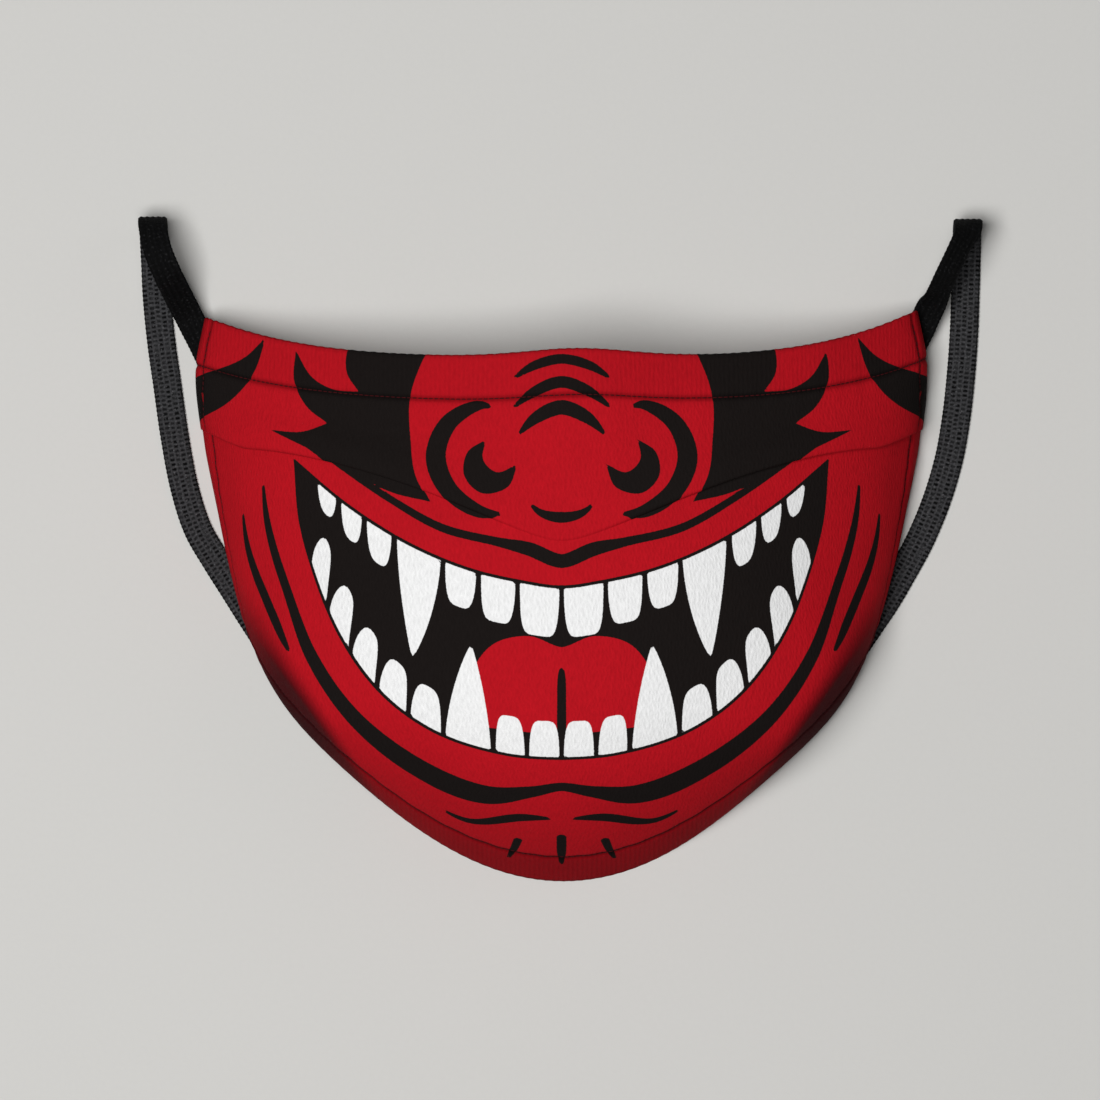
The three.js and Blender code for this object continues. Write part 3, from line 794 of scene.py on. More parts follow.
def mesh_piece(name, points, faces, material):
    """A new object from points in millimetres."""
    mesh = bpy.data.meshes.new(name)
    mesh.from_pydata((np.asarray(points) * MM).tolist(), [], faces)
    mesh.polygons.foreach_set("use_smooth", [True] * len(mesh.polygons))
    mesh.materials.append(material)
    mesh.update()
    piece = bpy.data.objects.new(name, mesh)
    bpy.context.scene.collection.objects.link(piece)
    return piece


def set_values(piece, name, values):
    """One number for each point, for a material to read."""
    attribute = piece.data.attributes.new(name, "FLOAT", "POINT")
    attribute.data.foreach_set("value", np.asarray(values, np.float32).ravel())


def set_lengths(piece, places):
    """A UV map that holds millimetres along the piece."""
    layer = piece.data.uv_layers.new(name="lengths")
    index = np.empty(len(piece.data.loops), np.int32)
    piece.data.loops.foreach_get("vertex_index", index)
    layer.data.foreach_set("uv", np.asarray(places, np.float32)[index].ravel())


def node(tree, kind, inputs=None, **settings):
    """Adds a node with its settings. An input is a plain value, or the output that feeds it."""
    made = tree.nodes.new(kind)
    for name, value in settings.items():
        setattr(made, name, value)
    for key, value in (inputs or {}).items():
        if isinstance(value, bpy.types.NodeSocket):
            tree.links.new(value, made.inputs[key])
        else:
            made.inputs[key].default_value = value
    return made


def new_material(name, roughness, **constants):
    """A material with one shader, and the plain values that stay the same all over it."""
    material = bpy.data.materials.new(name)
    material.use_nodes = True
    tree = material.node_tree
    tree.nodes.clear()
    settings = {"Roughness": roughness, **constants}
    shader = node(tree, "ShaderNodeBsdfPrincipled", settings)
    node(tree, "ShaderNodeOutputMaterial", {"Surface": shader.outputs["BSDF"]})
    return material, tree, shader


def wave(tree, value, pitch):
    """A wave from -1 to 1 with one crest for each pitch."""
    turned = node(tree, "ShaderNodeMath", {0: value, 1: 2 * math.pi / pitch}, operation="MULTIPLY")
    return node(tree, "ShaderNodeMath", {0: turned.outputs[0]}, operation="COSINE").outputs[0]


def lengths(tree):
    """Millimetres across and along the piece, so that a pattern's scale is for a millimetre."""
    places = node(tree, "ShaderNodeUVMap", uv_map="lengths").outputs[0]
    parts = node(tree, "ShaderNodeSeparateXYZ", {0: places})
    return places, parts.outputs[0], parts.outputs[1]


def printed_polyester(settings):
    """Woven polyester, dye printed. It is matt, with short raised threads in staggered rows, ribs in its
    doubled hems and print edges that follow the threads.
    Its colour also holds painted shade: between the threads, as a dark line in each seam's groove, in the
    bottom hem and below the crease at each lower side."""
    material, tree, shader = new_material(
        "woven_polyester_dye_printed", 0.88, **{"IOR": 1.5, "Specular IOR Level": 0.03})
    places, across, up = lengths(tree)
    hem, seam, jaw, black, white = (
        node(tree, "ShaderNodeAttribute", attribute_name=name).outputs["Fac"]
        for name in ("hem", "seam", "painted_crease_shade", "black_print", "white_print"))

    # Height of the raised threads, of the hems' ribs and of the fibres
    pitch = settings.weave_pitch / MM
    drift = node(tree, "ShaderNodeTexNoise", {"Vector": places, "Scale": 0.35, "Detail": 2.0})
    uneven = node(tree, "ShaderNodeMath", {0: drift.outputs[0], 1: THREAD_WANDER, 2: across},
                  operation="MULTIPLY_ADD")
    slanted = node(tree, "ShaderNodeMath", {0: up, 1: THREAD_SLANT, 2: uneven.outputs[0]},
                   operation="MULTIPLY_ADD")
    rows = node(tree, "ShaderNodeMath", {0: wave(tree, up, pitch * THREAD_ROWS), 1: THREAD_HEIGHT},
                operation="MULTIPLY")
    staggered = node(tree, "ShaderNodeMath",
                     {0: wave(tree, slanted.outputs[0], pitch), 1: rows.outputs[0]}, operation="MULTIPLY")
    ribs = node(tree, "ShaderNodeMath",
                {0: wave(tree, across, settings.rib_pitch / MM), 1: RIB_HEIGHT}, operation="MULTIPLY")
    threads = node(tree, "ShaderNodeMix", {0: hem, 2: staggered.outputs[0], 3: ribs.outputs[0]})
    longer = node(tree, "ShaderNodeMapping", {"Vector": places, "Scale": (1.0, FIBRE_STRETCH, 1.0)})
    fibres = node(tree, "ShaderNodeTexNoise",
                  {"Vector": longer.outputs[0], "Scale": 1.6, "Detail": 2.5, "Roughness": 0.65})
    height = node(tree, "ShaderNodeMath",
                  {0: fibres.outputs[0], 1: FIBRE_HEIGHT, 2: threads.outputs[0]},
                  operation="MULTIPLY_ADD")
    bump = node(tree, "ShaderNodeBump",
                {"Height": height.outputs[0], "Strength": 0.42, "Distance": 0.00012})

    # Print, with edges that follow the threads
    cells = node(tree, "ShaderNodeTexNoise", {"Vector": places, "Scale": 2.2, "Detail": 1.0})
    ragged = node(tree, "ShaderNodeMath", {0: cells.outputs[0], 1: RAGGED, 2: -RAGGED / 2},
                  operation="MULTIPLY_ADD")
    mottle = node(tree, "ShaderNodeTexNoise", {"Vector": places, "Scale": 0.09, "Detail": 4.0})
    ground = node(tree, "ShaderNodeMix",
                  {0: mottle.outputs[0], 6: (*settings.red, 1), 7: (*settings.deep_red, 1)},
                  data_type="RGBA")
    # Painted shade below the creases: the print's red is darkened toward the jaw shade colour
    print_colour = node(tree, "ShaderNodeMix",
                        {0: jaw, 6: ground.outputs[2], 7: (*settings.shade, 1)}, data_type="RGBA")
    for area, ink in ((black, settings.black), (white, settings.white)):
        moved = node(tree, "ShaderNodeMath", {0: area, 1: ragged.outputs[0]}, operation="ADD")
        covered = node(tree, "ShaderNodeMapRange",
                       {"Value": moved.outputs[0], "From Min": -PRINT_BLUR, "From Max": PRINT_BLUR})
        print_colour = node(tree, "ShaderNodeMix",
                            {0: covered.outputs[0], 6: print_colour.outputs[2], 7: (*ink, 1)},
                            data_type="RGBA")

    # Painted shade between the threads and a little painted light on them, and painted shade in the
    # seams' grooves and in the hems, most of it in the bottom hem
    valleys = node(tree, "ShaderNodeMapRange",
                   {"Value": height.outputs[0], "From Min": 1.1, "From Max": 3.0,
                    "To Min": 0.875, "To Max": 1.05})
    shaded = node(tree, "ShaderNodeMix",
                  {0: 1.0, 6: print_colour.outputs[2], 7: valleys.outputs[0]},
                  data_type="RGBA", blend_type="MULTIPLY")
    painted_hem_shade = node(tree, "ShaderNodeMath", {0: hem, 1: HEM_POWER}, operation="POWER")
    darker = node(tree, "ShaderNodeMath", {0: painted_hem_shade.outputs[0], 1: HEM_PAINTED_SHADE}, operation="MULTIPLY")
    painted_shade_amount = node(tree, "ShaderNodeMath", {0: seam, 1: SEAM_PAINTED_SHADE, 2: darker.outputs[0]},
                   operation="MULTIPLY_ADD")
    shade_painted_colour = node(tree, "ShaderNodeMix",
                 {0: painted_shade_amount.outputs[0], 6: shaded.outputs[2], 7: (0.25, 0.25, 0.25, 1)},
                 data_type="RGBA", blend_type="MULTIPLY")
    tree.links.new(shade_painted_colour.outputs[2], shader.inputs["Base Color"])
    tree.links.new(bump.outputs[0], shader.inputs["Normal"])
    return material


def plain_cotton(settings):
    """Plain woven cotton, undyed. It is off-white and matt, with a fine square weave and slubs."""
    material, tree, shader = new_material(
        "plain_woven_cotton", 0.9, **{"IOR": 1.5, "Specular IOR Level": 0.2, "Sheen Weight": 0.2})
    places, across, up = lengths(tree)
    square = node(tree, "ShaderNodeMath",
                  {0: wave(tree, across, COTTON_PITCH), 1: wave(tree, up, COTTON_PITCH)},
                  operation="MULTIPLY")
    slubs = node(tree, "ShaderNodeTexNoise",
                 {"Vector": places, "Scale": 0.8, "Detail": 5.0, "Roughness": 0.7})
    height = node(tree, "ShaderNodeMath", {0: slubs.outputs[0], 1: SLUB_HEIGHT, 2: square.outputs[0]},
                  operation="MULTIPLY_ADD")
    bump = node(tree, "ShaderNodeBump",
                {"Height": height.outputs[0], "Strength": 0.5, "Distance": 0.00012})
    tint = node(tree, "ShaderNodeMix",
                {0: slubs.outputs[0], 6: (*settings.lining, 1), 7: dimmed(settings.lining, 0.84)},
                data_type="RGBA")
    tree.links.new(tint.outputs[2], shader.inputs["Base Color"])
    tree.links.new(bump.outputs[0], shader.inputs["Normal"])
    return material


def knitted_elastic(settings):
    """Flat knitted elastic. Its colour follows the relief: painted shade makes the yarn black in the
    grooves and pits, and painted light makes it grey where the raised loops catch light. The back face is
    the greyer one."""
    material, tree, shader = new_material(
        "flat_knitted_elastic", 0.82, **{"IOR": 1.5, "Specular IOR Level": 0.05})
    places = node(tree, "ShaderNodeUVMap", uv_map="lengths").outputs[0]
    relief, back_face = (node(tree, "ShaderNodeAttribute", attribute_name=name).outputs["Fac"]
                         for name in ("relief", "back_face"))
    yarn = node(tree, "ShaderNodeTexNoise",
                {"Vector": places, "Scale": 1.9, "Detail": 4.0, "Roughness": 0.8})
    soft = node(tree, "ShaderNodeMapRange", {"Value": relief, "To Min": 0.4})
    lit = node(tree, "ShaderNodeMath", {0: soft.outputs[0], 1: yarn.outputs[0]}, operation="MULTIPLY")
    face = node(tree, "ShaderNodeMix",
                {0: back_face, 6: (*settings.front_yarn, 1), 7: (*settings.back_yarn, 1)},
                data_type="RGBA")
    raised = node(tree, "ShaderNodeMapRange",
                  {"Value": lit.outputs[0], "From Min": 0.2, "From Max": 0.74})
    colour = node(tree, "ShaderNodeMix",
                  {0: raised.outputs[0], 6: (*settings.groove, 1), 7: face.outputs[2]},
                  data_type="RGBA")
    # Loose fibres as light grey specks, painted lighter as glints where they catch the light, stronger on
    # the back face
    fuzz = node(tree, "ShaderNodeTexNoise", {"Vector": places, "Scale": 1.7, "Detail": 2.0})
    strength = node(tree, "ShaderNodeMapRange", {"Value": back_face, "To Min": 0.15, "To Max": 0.6})
    specks = node(tree, "ShaderNodeMapRange",
                  {"Value": fuzz.outputs[0], "From Min": 0.6, "From Max": 0.78,
                   "To Max": strength.outputs[0]})
    fuzzy = node(tree, "ShaderNodeMix",
                 {0: specks.outputs[0], 6: colour.outputs[2], 7: (*settings.fuzz, 1)},
                 data_type="RGBA")
    bump = node(tree, "ShaderNodeBump",
                {"Height": yarn.outputs[0], "Strength": 0.6, "Distance": 0.0002})
    tree.links.new(fuzzy.outputs[2], shader.inputs["Base Color"])
    tree.links.new(bump.outputs[0], shader.inputs["Normal"])
    return material


def sewing_thread(settings):
    """Spun polyester thread. It is a darker red than the cloth, with a soft twist."""
    material, tree, shader = new_material(
        "spun_polyester_thread", 0.75, **{"IOR": 1.5, "Specular IOR Level": 0.1})
    places = node(tree, "ShaderNodeTexCoord").outputs["Object"]
    twist = node(tree, "ShaderNodeTexNoise", {"Vector": places, "Scale": 2600.0, "Detail": 2.0})
    tint = node(tree, "ShaderNodeMix",
                {0: twist.outputs[0], 6: (*settings.colour, 1), 7: dimmed(settings.colour, 0.55)},
                data_type="RGBA")
    bump = node(tree, "ShaderNodeBump",
                {"Height": twist.outputs[0], "Strength": 0.4, "Distance": 0.0001})
    tree.links.new(tint.outputs[2], shader.inputs["Base Color"])
    tree.links.new(bump.outputs[0], shader.inputs["Normal"])
    return material


def studio_paper(settings):
    """Uncoated paper of a studio backdrop. It is pale grey and matt, with a very faint grain."""
    material, tree, shader = new_material("pale_studio_paper", 0.9)
    places = node(tree, "ShaderNodeTexCoord").outputs["Object"]
    grain = node(tree, "ShaderNodeTexNoise", {"Vector": places, "Scale": 900.0, "Detail": 2.0})
    tint = node(tree, "ShaderNodeMix",
                {0: grain.outputs[0], 6: (*settings.floor, 1), 7: dimmed(settings.floor, 0.97)},
                data_type="RGBA")
    tree.links.new(tint.outputs[2], shader.inputs["Base Color"])
    return material


# Stitches


def stitch_tree(material):
    """Geometry nodes that lay stitches along guide lines that carry the cloth's normal."""
    tree = bpy.data.node_groups.new("stitches_along_a_seam", "GeometryNodeTree")
    sockets = {}
    for name, kind in (("Seam", "Geometry"), ("Pitch", "Float"), ("Stitch length", "Float"),
                       ("Thread thickness", "Float"), ("Seed", "Int")):
        socket = tree.interface.new_socket(name=name, in_out="INPUT", socket_type="NodeSocket" + kind)
        sockets[name] = socket.identifier
    tree.interface.new_socket(name="Stitches", in_out="OUTPUT", socket_type="NodeSocketGeometry")
    given = node(tree, "NodeGroupInput").outputs
    seam = node(tree, "GeometryNodeMeshToCurve", {"Mesh": given["Seam"]})
    points = node(tree, "GeometryNodeResampleCurve",
                  {"Curve": seam.outputs[0], "Length": given["Pitch"]}, mode="LENGTH")
    normal = node(tree, "GeometryNodeInputNamedAttribute", {"Name": "cloth_normal"},
                  data_type="FLOAT_VECTOR")
    turned = node(tree, "FunctionNodeAxesToRotation",
                  {0: normal.outputs[0], 1: node(tree, "GeometryNodeInputTangent").outputs[0]},
                  primary_axis="Z", secondary_axis="X")
    thread = node(tree, "GeometryNodeMeshUVSphere", {"Segments": 6, "Rings": 6, "Radius": 0.5})
    size = node(tree, "ShaderNodeCombineXYZ",
                {0: given["Stitch length"], 1: given["Thread thickness"], 2: given["Thread thickness"]})
    one = node(tree, "GeometryNodeTransform", {"Geometry": thread.outputs[0], "Scale": size.outputs[0]})
    uneven = node(tree, "FunctionNodeRandomValue",
                  {0: (0.9, 0.92, 0.92), 1: (1.06, 1.06, 1.06), "Seed": given["Seed"]},
                  data_type="FLOAT_VECTOR")
    laid = node(tree, "GeometryNodeInstanceOnPoints",
                {"Points": points.outputs[0], "Instance": one.outputs[0],
                 "Rotation": turned.outputs[0], "Scale": uneven.outputs[0]})
    real = node(tree, "GeometryNodeRealizeInstances", {"Geometry": laid.outputs[0]})
    dyed = node(tree, "GeometryNodeSetMaterial", {"Geometry": real.outputs[0], "Material": material})
    node(tree, "NodeGroupOutput", {0: dyed.outputs[0]})
    return tree, sockets


def sew(name, lines, settings, tree, sockets):
    """A mesh of stitches along guide lines, each a pair of points and normals in millimetres."""
    points, edges, normals = [], [], []
    for line, out in lines:
        first = len(points)
        points += (line * MM).tolist()
        normals += out.tolist()
        edges += [(first + k, first + k + 1) for k in range(len(line) - 1)]
    mesh = bpy.data.meshes.new(name + "_guide")
    mesh.from_pydata(points, edges, [])
    layer = mesh.attributes.new("cloth_normal", "FLOAT_VECTOR", "POINT")
    layer.data.foreach_set("vector", np.array(normals, np.float32).ravel())
    guide = bpy.data.objects.new(name + "_guide", mesh)
    bpy.context.scene.collection.objects.link(guide)
    modifier = guide.modifiers.new("stitches", "NODES")
    modifier.node_group = tree
    modifier[sockets["Pitch"]] = settings.pitch
    modifier[sockets["Stitch length"]] = settings.length
    modifier[sockets["Thread thickness"]] = settings.thickness
    modifier[sockets["Seed"]] = settings.seed
    bpy.context.view_layer.update()
    evaluated = guide.evaluated_get(bpy.context.evaluated_depsgraph_get())
    sewn = bpy.data.meshes.new_from_object(evaluated)
    if not sewn.polygons:
        raise RuntimeError("no stitch was laid along " + name)
    sewn.name = name
    sewn.polygons.foreach_set("use_smooth", [True] * len(sewn.polygons))
    guide.modifiers.remove(modifier)
    bpy.data.objects.remove(guide)
    piece = bpy.data.objects.new(name, sewn)
    bpy.context.scene.collection.objects.link(piece)
    return piece


# Elastic


def knitting(across, run, selvedge, back, settings):
    """Relief of the yarns from 0 to 1, and the crosswise bars in it. The front has lengthwise
    cords, and the back has rows of pits between the bars."""
    cords = 0.5 + 0.5 * np.cos(2 * math.pi * across / (settings.cord_pitch / MM))
    cord = np.round(across / (settings.cord_pitch / MM))
    drift = sum(amount * np.sin(change * cord + run / over) for amount, change, over in BAR_DRIFT)
    bars = 0.5 + 0.5 * np.cos(2 * math.pi * run / (settings.bar_pitch / MM) + drift)
    deep = 0.8 + 0.2 * np.sin(run / 1.7 + 3.1 * cord)  # no two pits are quite alike
    pits = smooth(*PIT_LENGTH, bars) * smooth(*PIT_WIDTH, cords) * deep
    barred = (1 - pits) * (1 - BACK_SELVEDGE * selvedge)
    ridged = mix(cords, 1 - pits, FRONT_PITS) * (1 - FRONT_SELVEDGE * selvedge)
    return np.where(back > 0, barred, ridged), bars


def strip(route, tilt, settings):
    """A flat knitted elastic: its middle line, the lengths along that, its points, and for each
    point the relief, the face that it is on and its place across."""
    width, thickness = settings.width / MM, settings.thickness / MM
    line = spaced(curve(route, 0.2), settings.courses)
    line[:, 2] = np.maximum(line[:, 2], thickness / 2)
    along = unit(np.gradient(line, axis=0))
    tip = np.argmax(line[:, 1])
    heading = along * [1, 1, 0]
    heading[tip:] *= -1
    near_tip = 1 - smooth(0, TIP_BLEND, line[tip, 1] - line[:, 1])
    heading = unit(mix(unit(heading), np.array([0, 1.0, 0]), near_tip[:, None]))
    across = np.column_stack([heading[:, 1], -heading[:, 0], np.zeros(len(line))])
    face = unit(np.cross(across, along))
    run = run_along(line)
    way = run / run[tip]
    turned = (tilt * smooth(*TILT_STARTS, way) * (1 - smooth(*TILT_ENDS, way)))[:, None]
    across, face = (across * np.cos(turned) - face * np.sin(turned),
                    face * np.cos(turned) + across * np.sin(turned))
    half = settings.wales // 2
    part = (np.arange(half) + 0.5) / half
    one_face = np.sign(part - 0.5) * (1 - (1 - np.abs(2 * part - 1)) ** CROWDING)
    u = np.concatenate([-one_face, one_face])
    back = np.repeat([0.0, 1.0], half)
    v = np.sqrt(np.maximum(1 - np.abs(u) ** ROUNDNESS, FLATTEST)) * (1 - 2 * back)
    u_mm = u * width / 2
    relief, bars = knitting(u_mm, run[:, None], smooth(*SELVEDGE, np.abs(u)), back, settings)
    lift = settings.relief / MM * (relief - 0.5) * (np.abs(u) < 0.98)
    notch = np.abs(u) ** 12 * EDGE_NOTCH * (bars - 0.5)
    sideways = -(u_mm + np.sign(u_mm) * notch)
    outwards = v * (thickness / 2 - settings.relief / MM / 2) + np.sign(v) * lift
    points = line[:, None] + across[:, None] * sideways[..., None] + face[:, None] * outwards[..., None]
    points[..., 2] = np.maximum(points[..., 2], 0)
    return line, run, points, relief, back, u_mm


def strip_faces(rings, around):
    """Quads round each length of a strip, and a face over each end."""
    faces = []
    for i in range(rings - 1):
        for j in range(around):
            k = (j + 1) % around
            faces.append([i * around + j, i * around + k, (i + 1) * around + k, (i + 1) * around + j])
    faces.append(list(range(around))[::-1])
    faces.append([(rings - 1) * around + j for j in range(around)])
    return faces


# Settings that a user would change


def size_setting(name, description, default):
    """A size in metres."""
    return bpy.props.FloatProperty(
        name=name, description=description, default=default, subtype="DISTANCE", precision=5)


def colour_setting(name, description, code):
    """A colour, from its sRGB hex code."""
    return bpy.props.FloatVectorProperty(
        name=name, description=description, default=linear(code), subtype="COLOR")


def count_setting(name, description, default, least):
    """A whole number."""
    return bpy.props.IntProperty(name=name, description=description, default=default, min=least)


class ClothSettings(bpy.types.PropertyGroup):
    """Printed cloth and its lining"""

    columns: count_setting("Columns", "Columns of the fine cloth", 296, 40)
    thickness: size_setting("Thickness", "Thickness of the printed cloth", 0.0006)
    hem_thickness: size_setting("Hem thickness", "Thickness where the cloth is folded double", 0.0014)
    weave_pitch: size_setting("Weave pitch", "Distance between raised threads", 0.0009)
    rib_pitch: size_setting("Rib pitch", "Distance between the ribs in the hems", 0.00105)
    red: colour_setting("Red", "Ground of the print", "#b1131e")
    deep_red: colour_setting("Deep red", "Where the dye took more strongly", "#a4111b")
    # painted shade of the steep walls below the creases at the lower sides
    shade: colour_setting("Jaw shade", "Dark red beyond the creases of the jaw", "#470a10")
    black: colour_setting("Black", "Lines and shadows of the print", "#181413")
    white: colour_setting("White", "Teeth of the print", "#e2e2e2")
    lining: colour_setting("Lining", "Undyed cotton of the lining", "#ebe7df")


class ElasticSettings(bpy.types.PropertyGroup):
    """Ear loops"""

    width: size_setting("Width", "Width of the elastic", 0.0063)
    thickness: size_setting("Thickness", "Thickness of the elastic", 0.0011)
    relief: size_setting("Relief", "Height of its cords and bars", 0.00022)
    cord_pitch: size_setting("Cord pitch", "Distance between lengthwise cords", 0.00126)
    bar_pitch: size_setting("Bar pitch", "Distance between rows of crosswise stitches", 0.00102)
    courses: count_setting("Courses", "Rings of points along the strip", 860, 60)
    wales: count_setting("Wales", "Points round the strip", 72, 12)
    front_yarn: colour_setting("Front yarn", "Raised yarn on the front", "#111112")
    back_yarn: colour_setting("Back yarn", "Raised yarn on the back", "#474749")
    # painted shade in the grooves and pits of the knitting
    groove: colour_setting("Groove", "Yarn in the grooves", "#040404")
    fuzz: colour_setting("Fuzz", "Loose fibres that catch the light", "#6a6a6c")


class StitchSettings(bpy.types.PropertyGroup):
    """Stitches of every seam"""

    pitch: size_setting("Pitch", "From one stitch to the next", 0.0012)
    length: size_setting("Length", "Visible length of a stitch", 0.0012)
    thickness: size_setting("Thickness", "Thickness of the thread", 0.00028)
    seed: count_setting("Seed", "Of the small unevenness", 4, 0)
    colour: colour_setting("Colour", "Of the thread", "#400a0f")


class StageSettings(bpy.types.PropertyGroup):
    """Camera, lights and floor"""

    lens: bpy.props.FloatProperty(
        name="Lens", description="Focal length: a long lens from far away, so that depths don't shift",
        default=360, unit="CAMERA")
    key_power: bpy.props.FloatProperty(
        name="Key light", description="Power of the large soft light", default=20.0, subtype="POWER")
    fill_power: bpy.props.FloatProperty(
        name="Fill light", description="Power of the weaker light on the other side",
        default=0.6, subtype="POWER")
    room_light: bpy.props.FloatProperty(
        name="Room light", description="Strength of the even light from all round", default=0.07)
    floor: colour_setting("Floor", "Pale floor", "#c3c2bf")


# Operators, one for each piece


class MASK_OT_stage(bpy.types.Operator):
    """Camera above the mask, soft light and a pale floor"""

    bl_idname = "mask.stage"
    bl_label = "Stage"

    def execute(self, context):
        settings = context.scene.mask_stage
        self.add_camera(context, settings)
        for name, place, power in (("key", KEY_PLACE, settings.key_power),
                                   ("fill", FILL_PLACE, settings.fill_power)):
            lamp = bpy.data.lights.new(name, "AREA")
            lamp.shape = "RECTANGLE"
            lamp.size = lamp.size_y = LIGHT_SIZE
            lamp.energy = power
            light = bpy.data.objects.new(name, lamp)
            light.location = place
            light.rotation_euler = (-Vector(place)).to_track_quat("-Z", "Y").to_euler()
            light.visible_camera = False
            context.scene.collection.objects.link(light)
        world = bpy.data.worlds.new("studio")
        world.use_nodes = True
        background = world.node_tree.nodes["Background"]
        background.inputs["Color"].default_value = (*linear("#f1f1f0"), 1)
        background.inputs["Strength"].default_value = settings.room_light
        context.scene.world = world
        context.scene.view_settings.view_transform = "Standard"

        corners = [(x * FLOOR_HALF, y * FLOOR_HALF, -FLOOR_DROP)
                   for x, y in ((-1, -1), (1, -1), (1, 1), (-1, 1))]
        mesh_piece("floor", corners, [(0, 1, 2, 3)], studio_paper(settings))
        return {"FINISHED"}

    def add_camera(self, context, settings):
        """The camera looks straight down, and its frame is the photograph's."""
        width = PHOTO_SIZE * MM_PER_PIXEL
        across = (PHOTO_SIZE / 2 - MIDDLE_PIXEL[0]) * MM_PER_PIXEL
        up = (MIDDLE_PIXEL[1] - PHOTO_SIZE / 2) * MM_PER_PIXEL
        data = bpy.data.cameras.new("camera")
        data.lens = settings.lens
        data.sensor_width = SENSOR
        data.clip_end = 100
        camera = bpy.data.objects.new("camera", data)
        distance = width * data.lens / data.sensor_width + TRUE_SCALE_LEVEL
        camera.location = Vector((across, up, distance)) * MM
        context.scene.collection.objects.link(camera)
        context.scene.camera = camera


class MASK_OT_ear_loops(bpy.types.Operator):
    """Two loops of flat knitted elastic"""

    bl_idname = "mask.ear_loops"
    bl_label = "Ear loops"

    def execute(self, context):
        settings = context.scene.mask_elastic
        material = knitted_elastic(settings)
        for name, route, tilt in (("left", LEFT_ROUTE, 0), ("right", RIGHT_ROUTE, RIGHT_TILT)):
            line, run, points, relief, back, across = strip(route, tilt, settings)
            faces = strip_faces(*points.shape[:2])
            piece = mesh_piece("knitted_loop_" + name, points.reshape(-1, 3), faces, material)
            set_values(piece, "relief", relief)
            set_values(piece, "back_face", np.broadcast_to(back, relief.shape))
            places = np.broadcast_arrays(across + BACK_OFFSET * back, run[:, None])
            set_lengths(piece, np.stack(places, axis=-1).reshape(-1, 2))
            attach(piece, BODY)
            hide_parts("ear_loop_" + name)
        return {"FINISHED"}


class MASK_OT_printed_cloth(bpy.types.Operator):
    """Printed cloth with its hems, its pleat and the seams sewn into it"""

    bl_idname = "mask.printed_cloth"
    bl_label = "Printed cloth"

    def execute(self, context):
        settings = context.scene.mask_cloth
        grid = ClothGrid(settings.columns, settings.thickness / MM, settings.hem_thickness / MM)
        points, faces, coarse_rows = closed_sheet(grid.outer, grid.inner, bulge=0.8)
        piece = mesh_piece("printed_cloth", points, faces, printed_polyester(settings))
        self.print_picture(piece, grid, coarse_rows)
        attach(piece, BODY)
        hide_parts("outer_panel")
        sewn = self.sew_seams(grid, context.scene.mask_stitches)
        for stitches in sewn:
            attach(stitches, BODY)
        return {"FINISHED"}

    def print_picture(self, piece, grid, coarse_rows):
        """Gives every point its place on the cloth, its print, the painted shade below the creases and
        how near a seam it is.
        """

        def on_points(outside, inside):
            """A value for every point: outer skin, rounded edge, inner skin."""
            within = np.full(grid.across.shape, inside) if np.isscalar(inside) else inside
            within = within[coarse_rows][:, ::2]
            return np.concatenate([outside.ravel(), edge_loop(outside), within.ravel()])

        black, white = print_areas(grid.across, grid.up)
        for name, outside, inside in (
                ("black_print", black, -FAR), ("white_print", white, -FAR), ("hem", grid.hem, grid.hem),
                ("seam", grid.seam, grid.seam), ("painted_crease_shade", painted_crease_shade(grid.base), 0)):
            set_values(piece, name, on_points(outside, inside))
        places = [on_points(run, run) for run in (grid.across, grid.up)]
        set_lengths(piece, np.column_stack(places))

    def sew_seams(self, grid, settings):
        """Stitches along the hems' seams, and down both sides above and below the pleat."""
        tree, sockets = stitch_tree(sewing_thread(settings))
        way = grid.place[:, 0]
        seams = {}
        for name, hem in (("top", TOP_HEM), ("bottom", BOTTOM_HEM)):
            row = np.argmin(np.abs(way - hem))
            seams[name] = [self.seam(grid, row, slice(SEAM_MARGIN, -SEAM_MARGIN))]
        columns = [np.argmin(np.abs(grid.sides - side)) for side in (-SIDE_HEM, SIDE_HEM)]
        above = np.flatnonzero((way > SIDE_SEAM[0]) & (way < PLEAT) & grid.free[:, 0])
        below = np.flatnonzero((way > PLEAT + SEAM_PAST_PLEAT) & (way < SIDE_SEAM[1]))
        seams["sides"] = [self.seam(grid, rows, column) for column in columns for rows in (above, below)]
        return [sew("stitching_" + name, lines, settings, tree, sockets) for name, lines in seams.items()]

    def seam(self, grid, rows, columns):
        """A line along the bottom of a seam's groove, with the cloth's normals."""
        normals = grid.normal[rows, columns]
        return grid.outer[rows, columns] + THREAD_SHOWS * normals, normals


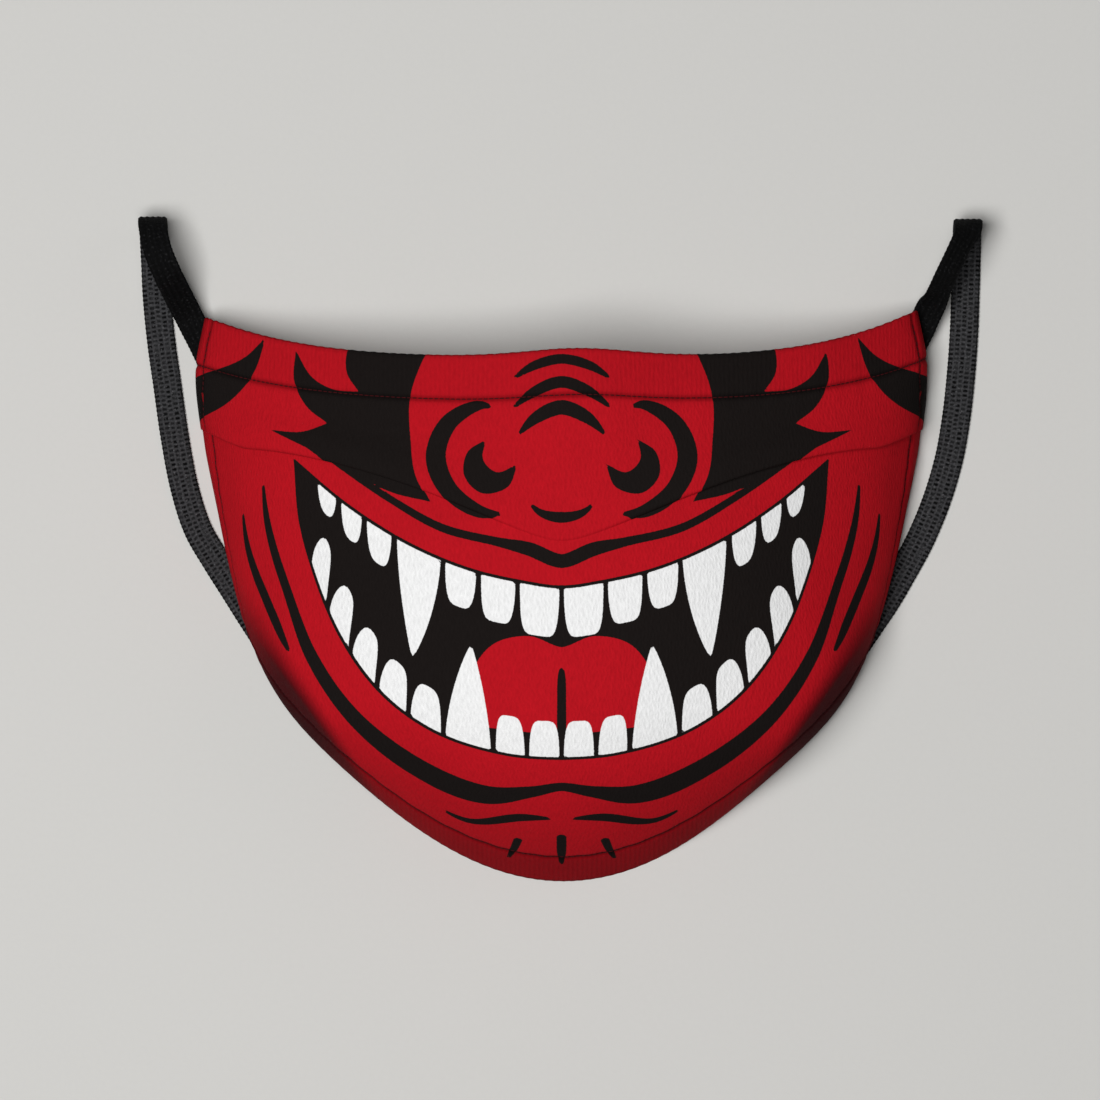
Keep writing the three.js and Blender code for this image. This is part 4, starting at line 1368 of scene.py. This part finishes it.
class MASK_OT_lining(bpy.types.Operator):
    """Plain lining behind the printed cloth, between the hems"""

    bl_idname = "mask.lining"
    bl_label = "Lining"

    def execute(self, context):
        settings = context.scene.mask_cloth
        from_side, from_hem = LINING_INSETS
        sides = np.linspace(-SIDE_HEM + from_side, SIDE_HEM - from_side, LINING_COLUMNS)
        rows = np.linspace(TOP_HEM + from_hem, BOTTOM_HEM - from_hem, LINING_ROWS)
        row, side = np.meshgrid(rows, sides, indexing="ij")
        shift, pleat_depth = pleat_at(side)[2:]
        swell = pleat_depth / 2
        out = directions(side, row)[0]
        past = (row - PLEAT) * directions(side, np.full_like(row, PLEAT))[2]
        start = shift - 1.5 * TURN_RADIUS
        entered = smooth(start - LINING_RAMP, start, past)
        depth = settings.thickness / MM + CLEARANCE + swell * entered * sunk_below(side, past)
        base = front(side, row)
        wander = 2 * np.sin(base[..., 1] / LINING_WAVES[1])
        slack = 0.5 + 0.5 * np.sin(base[..., 0] / LINING_WAVES[0] + wander)
        depth = depth + LINING_SLACK * slack
        outer = base - out * depth[..., None]
        inner = base - out * (depth + LINING_THICKNESS)[..., None]
        points, faces, coarse_rows = closed_sheet(outer, inner, bulge=0.6)
        piece = mesh_piece("cotton_lining", points, faces, plain_cotton(settings))
        within = inner[coarse_rows][:, ::2]
        places = np.concatenate([outer.reshape(-1, 3), edge_loop(outer), within.reshape(-1, 3)])
        set_lengths(piece, places[:, :2])
        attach(piece, BODY)
        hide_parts("lining")
        return {"FINISHED"}


class MASK_PT_pieces(bpy.types.Panel):
    """Lists what makes the mask"""

    bl_idname = "MASK_PT_pieces"
    bl_label = "Face mask"
    bl_space_type = "VIEW_3D"
    bl_region_type = "UI"
    bl_category = "Face mask"

    def draw(self, context):
        for operator in OPERATORS:
            self.layout.operator(operator.bl_idname)


SETTINGS = {
    "mask_cloth": ClothSettings,
    "mask_elastic": ElasticSettings,
    "mask_stitches": StitchSettings,
    "mask_stage": StageSettings,
}
OPERATORS = (MASK_OT_stage, MASK_OT_ear_loops, MASK_OT_printed_cloth, MASK_OT_lining)
CLASSES = (*SETTINGS.values(), *OPERATORS, MASK_PT_pieces)


def register():
    for made in CLASSES:
        bpy.utils.register_class(made)
    for name, kind in SETTINGS.items():
        setattr(bpy.types.Scene, name, bpy.props.PointerProperty(type=kind))


def unregister():
    for name in SETTINGS:
        delattr(bpy.types.Scene, name)
    for made in reversed(CLASSES):
        bpy.utils.unregister_class(made)


def main():
    register()
    bpy.ops.mask.stage()
    bpy.ops.mask.ear_loops()
    bpy.ops.mask.printed_cloth()
    bpy.ops.mask.lining()


if __name__ == "__main__":
    main()
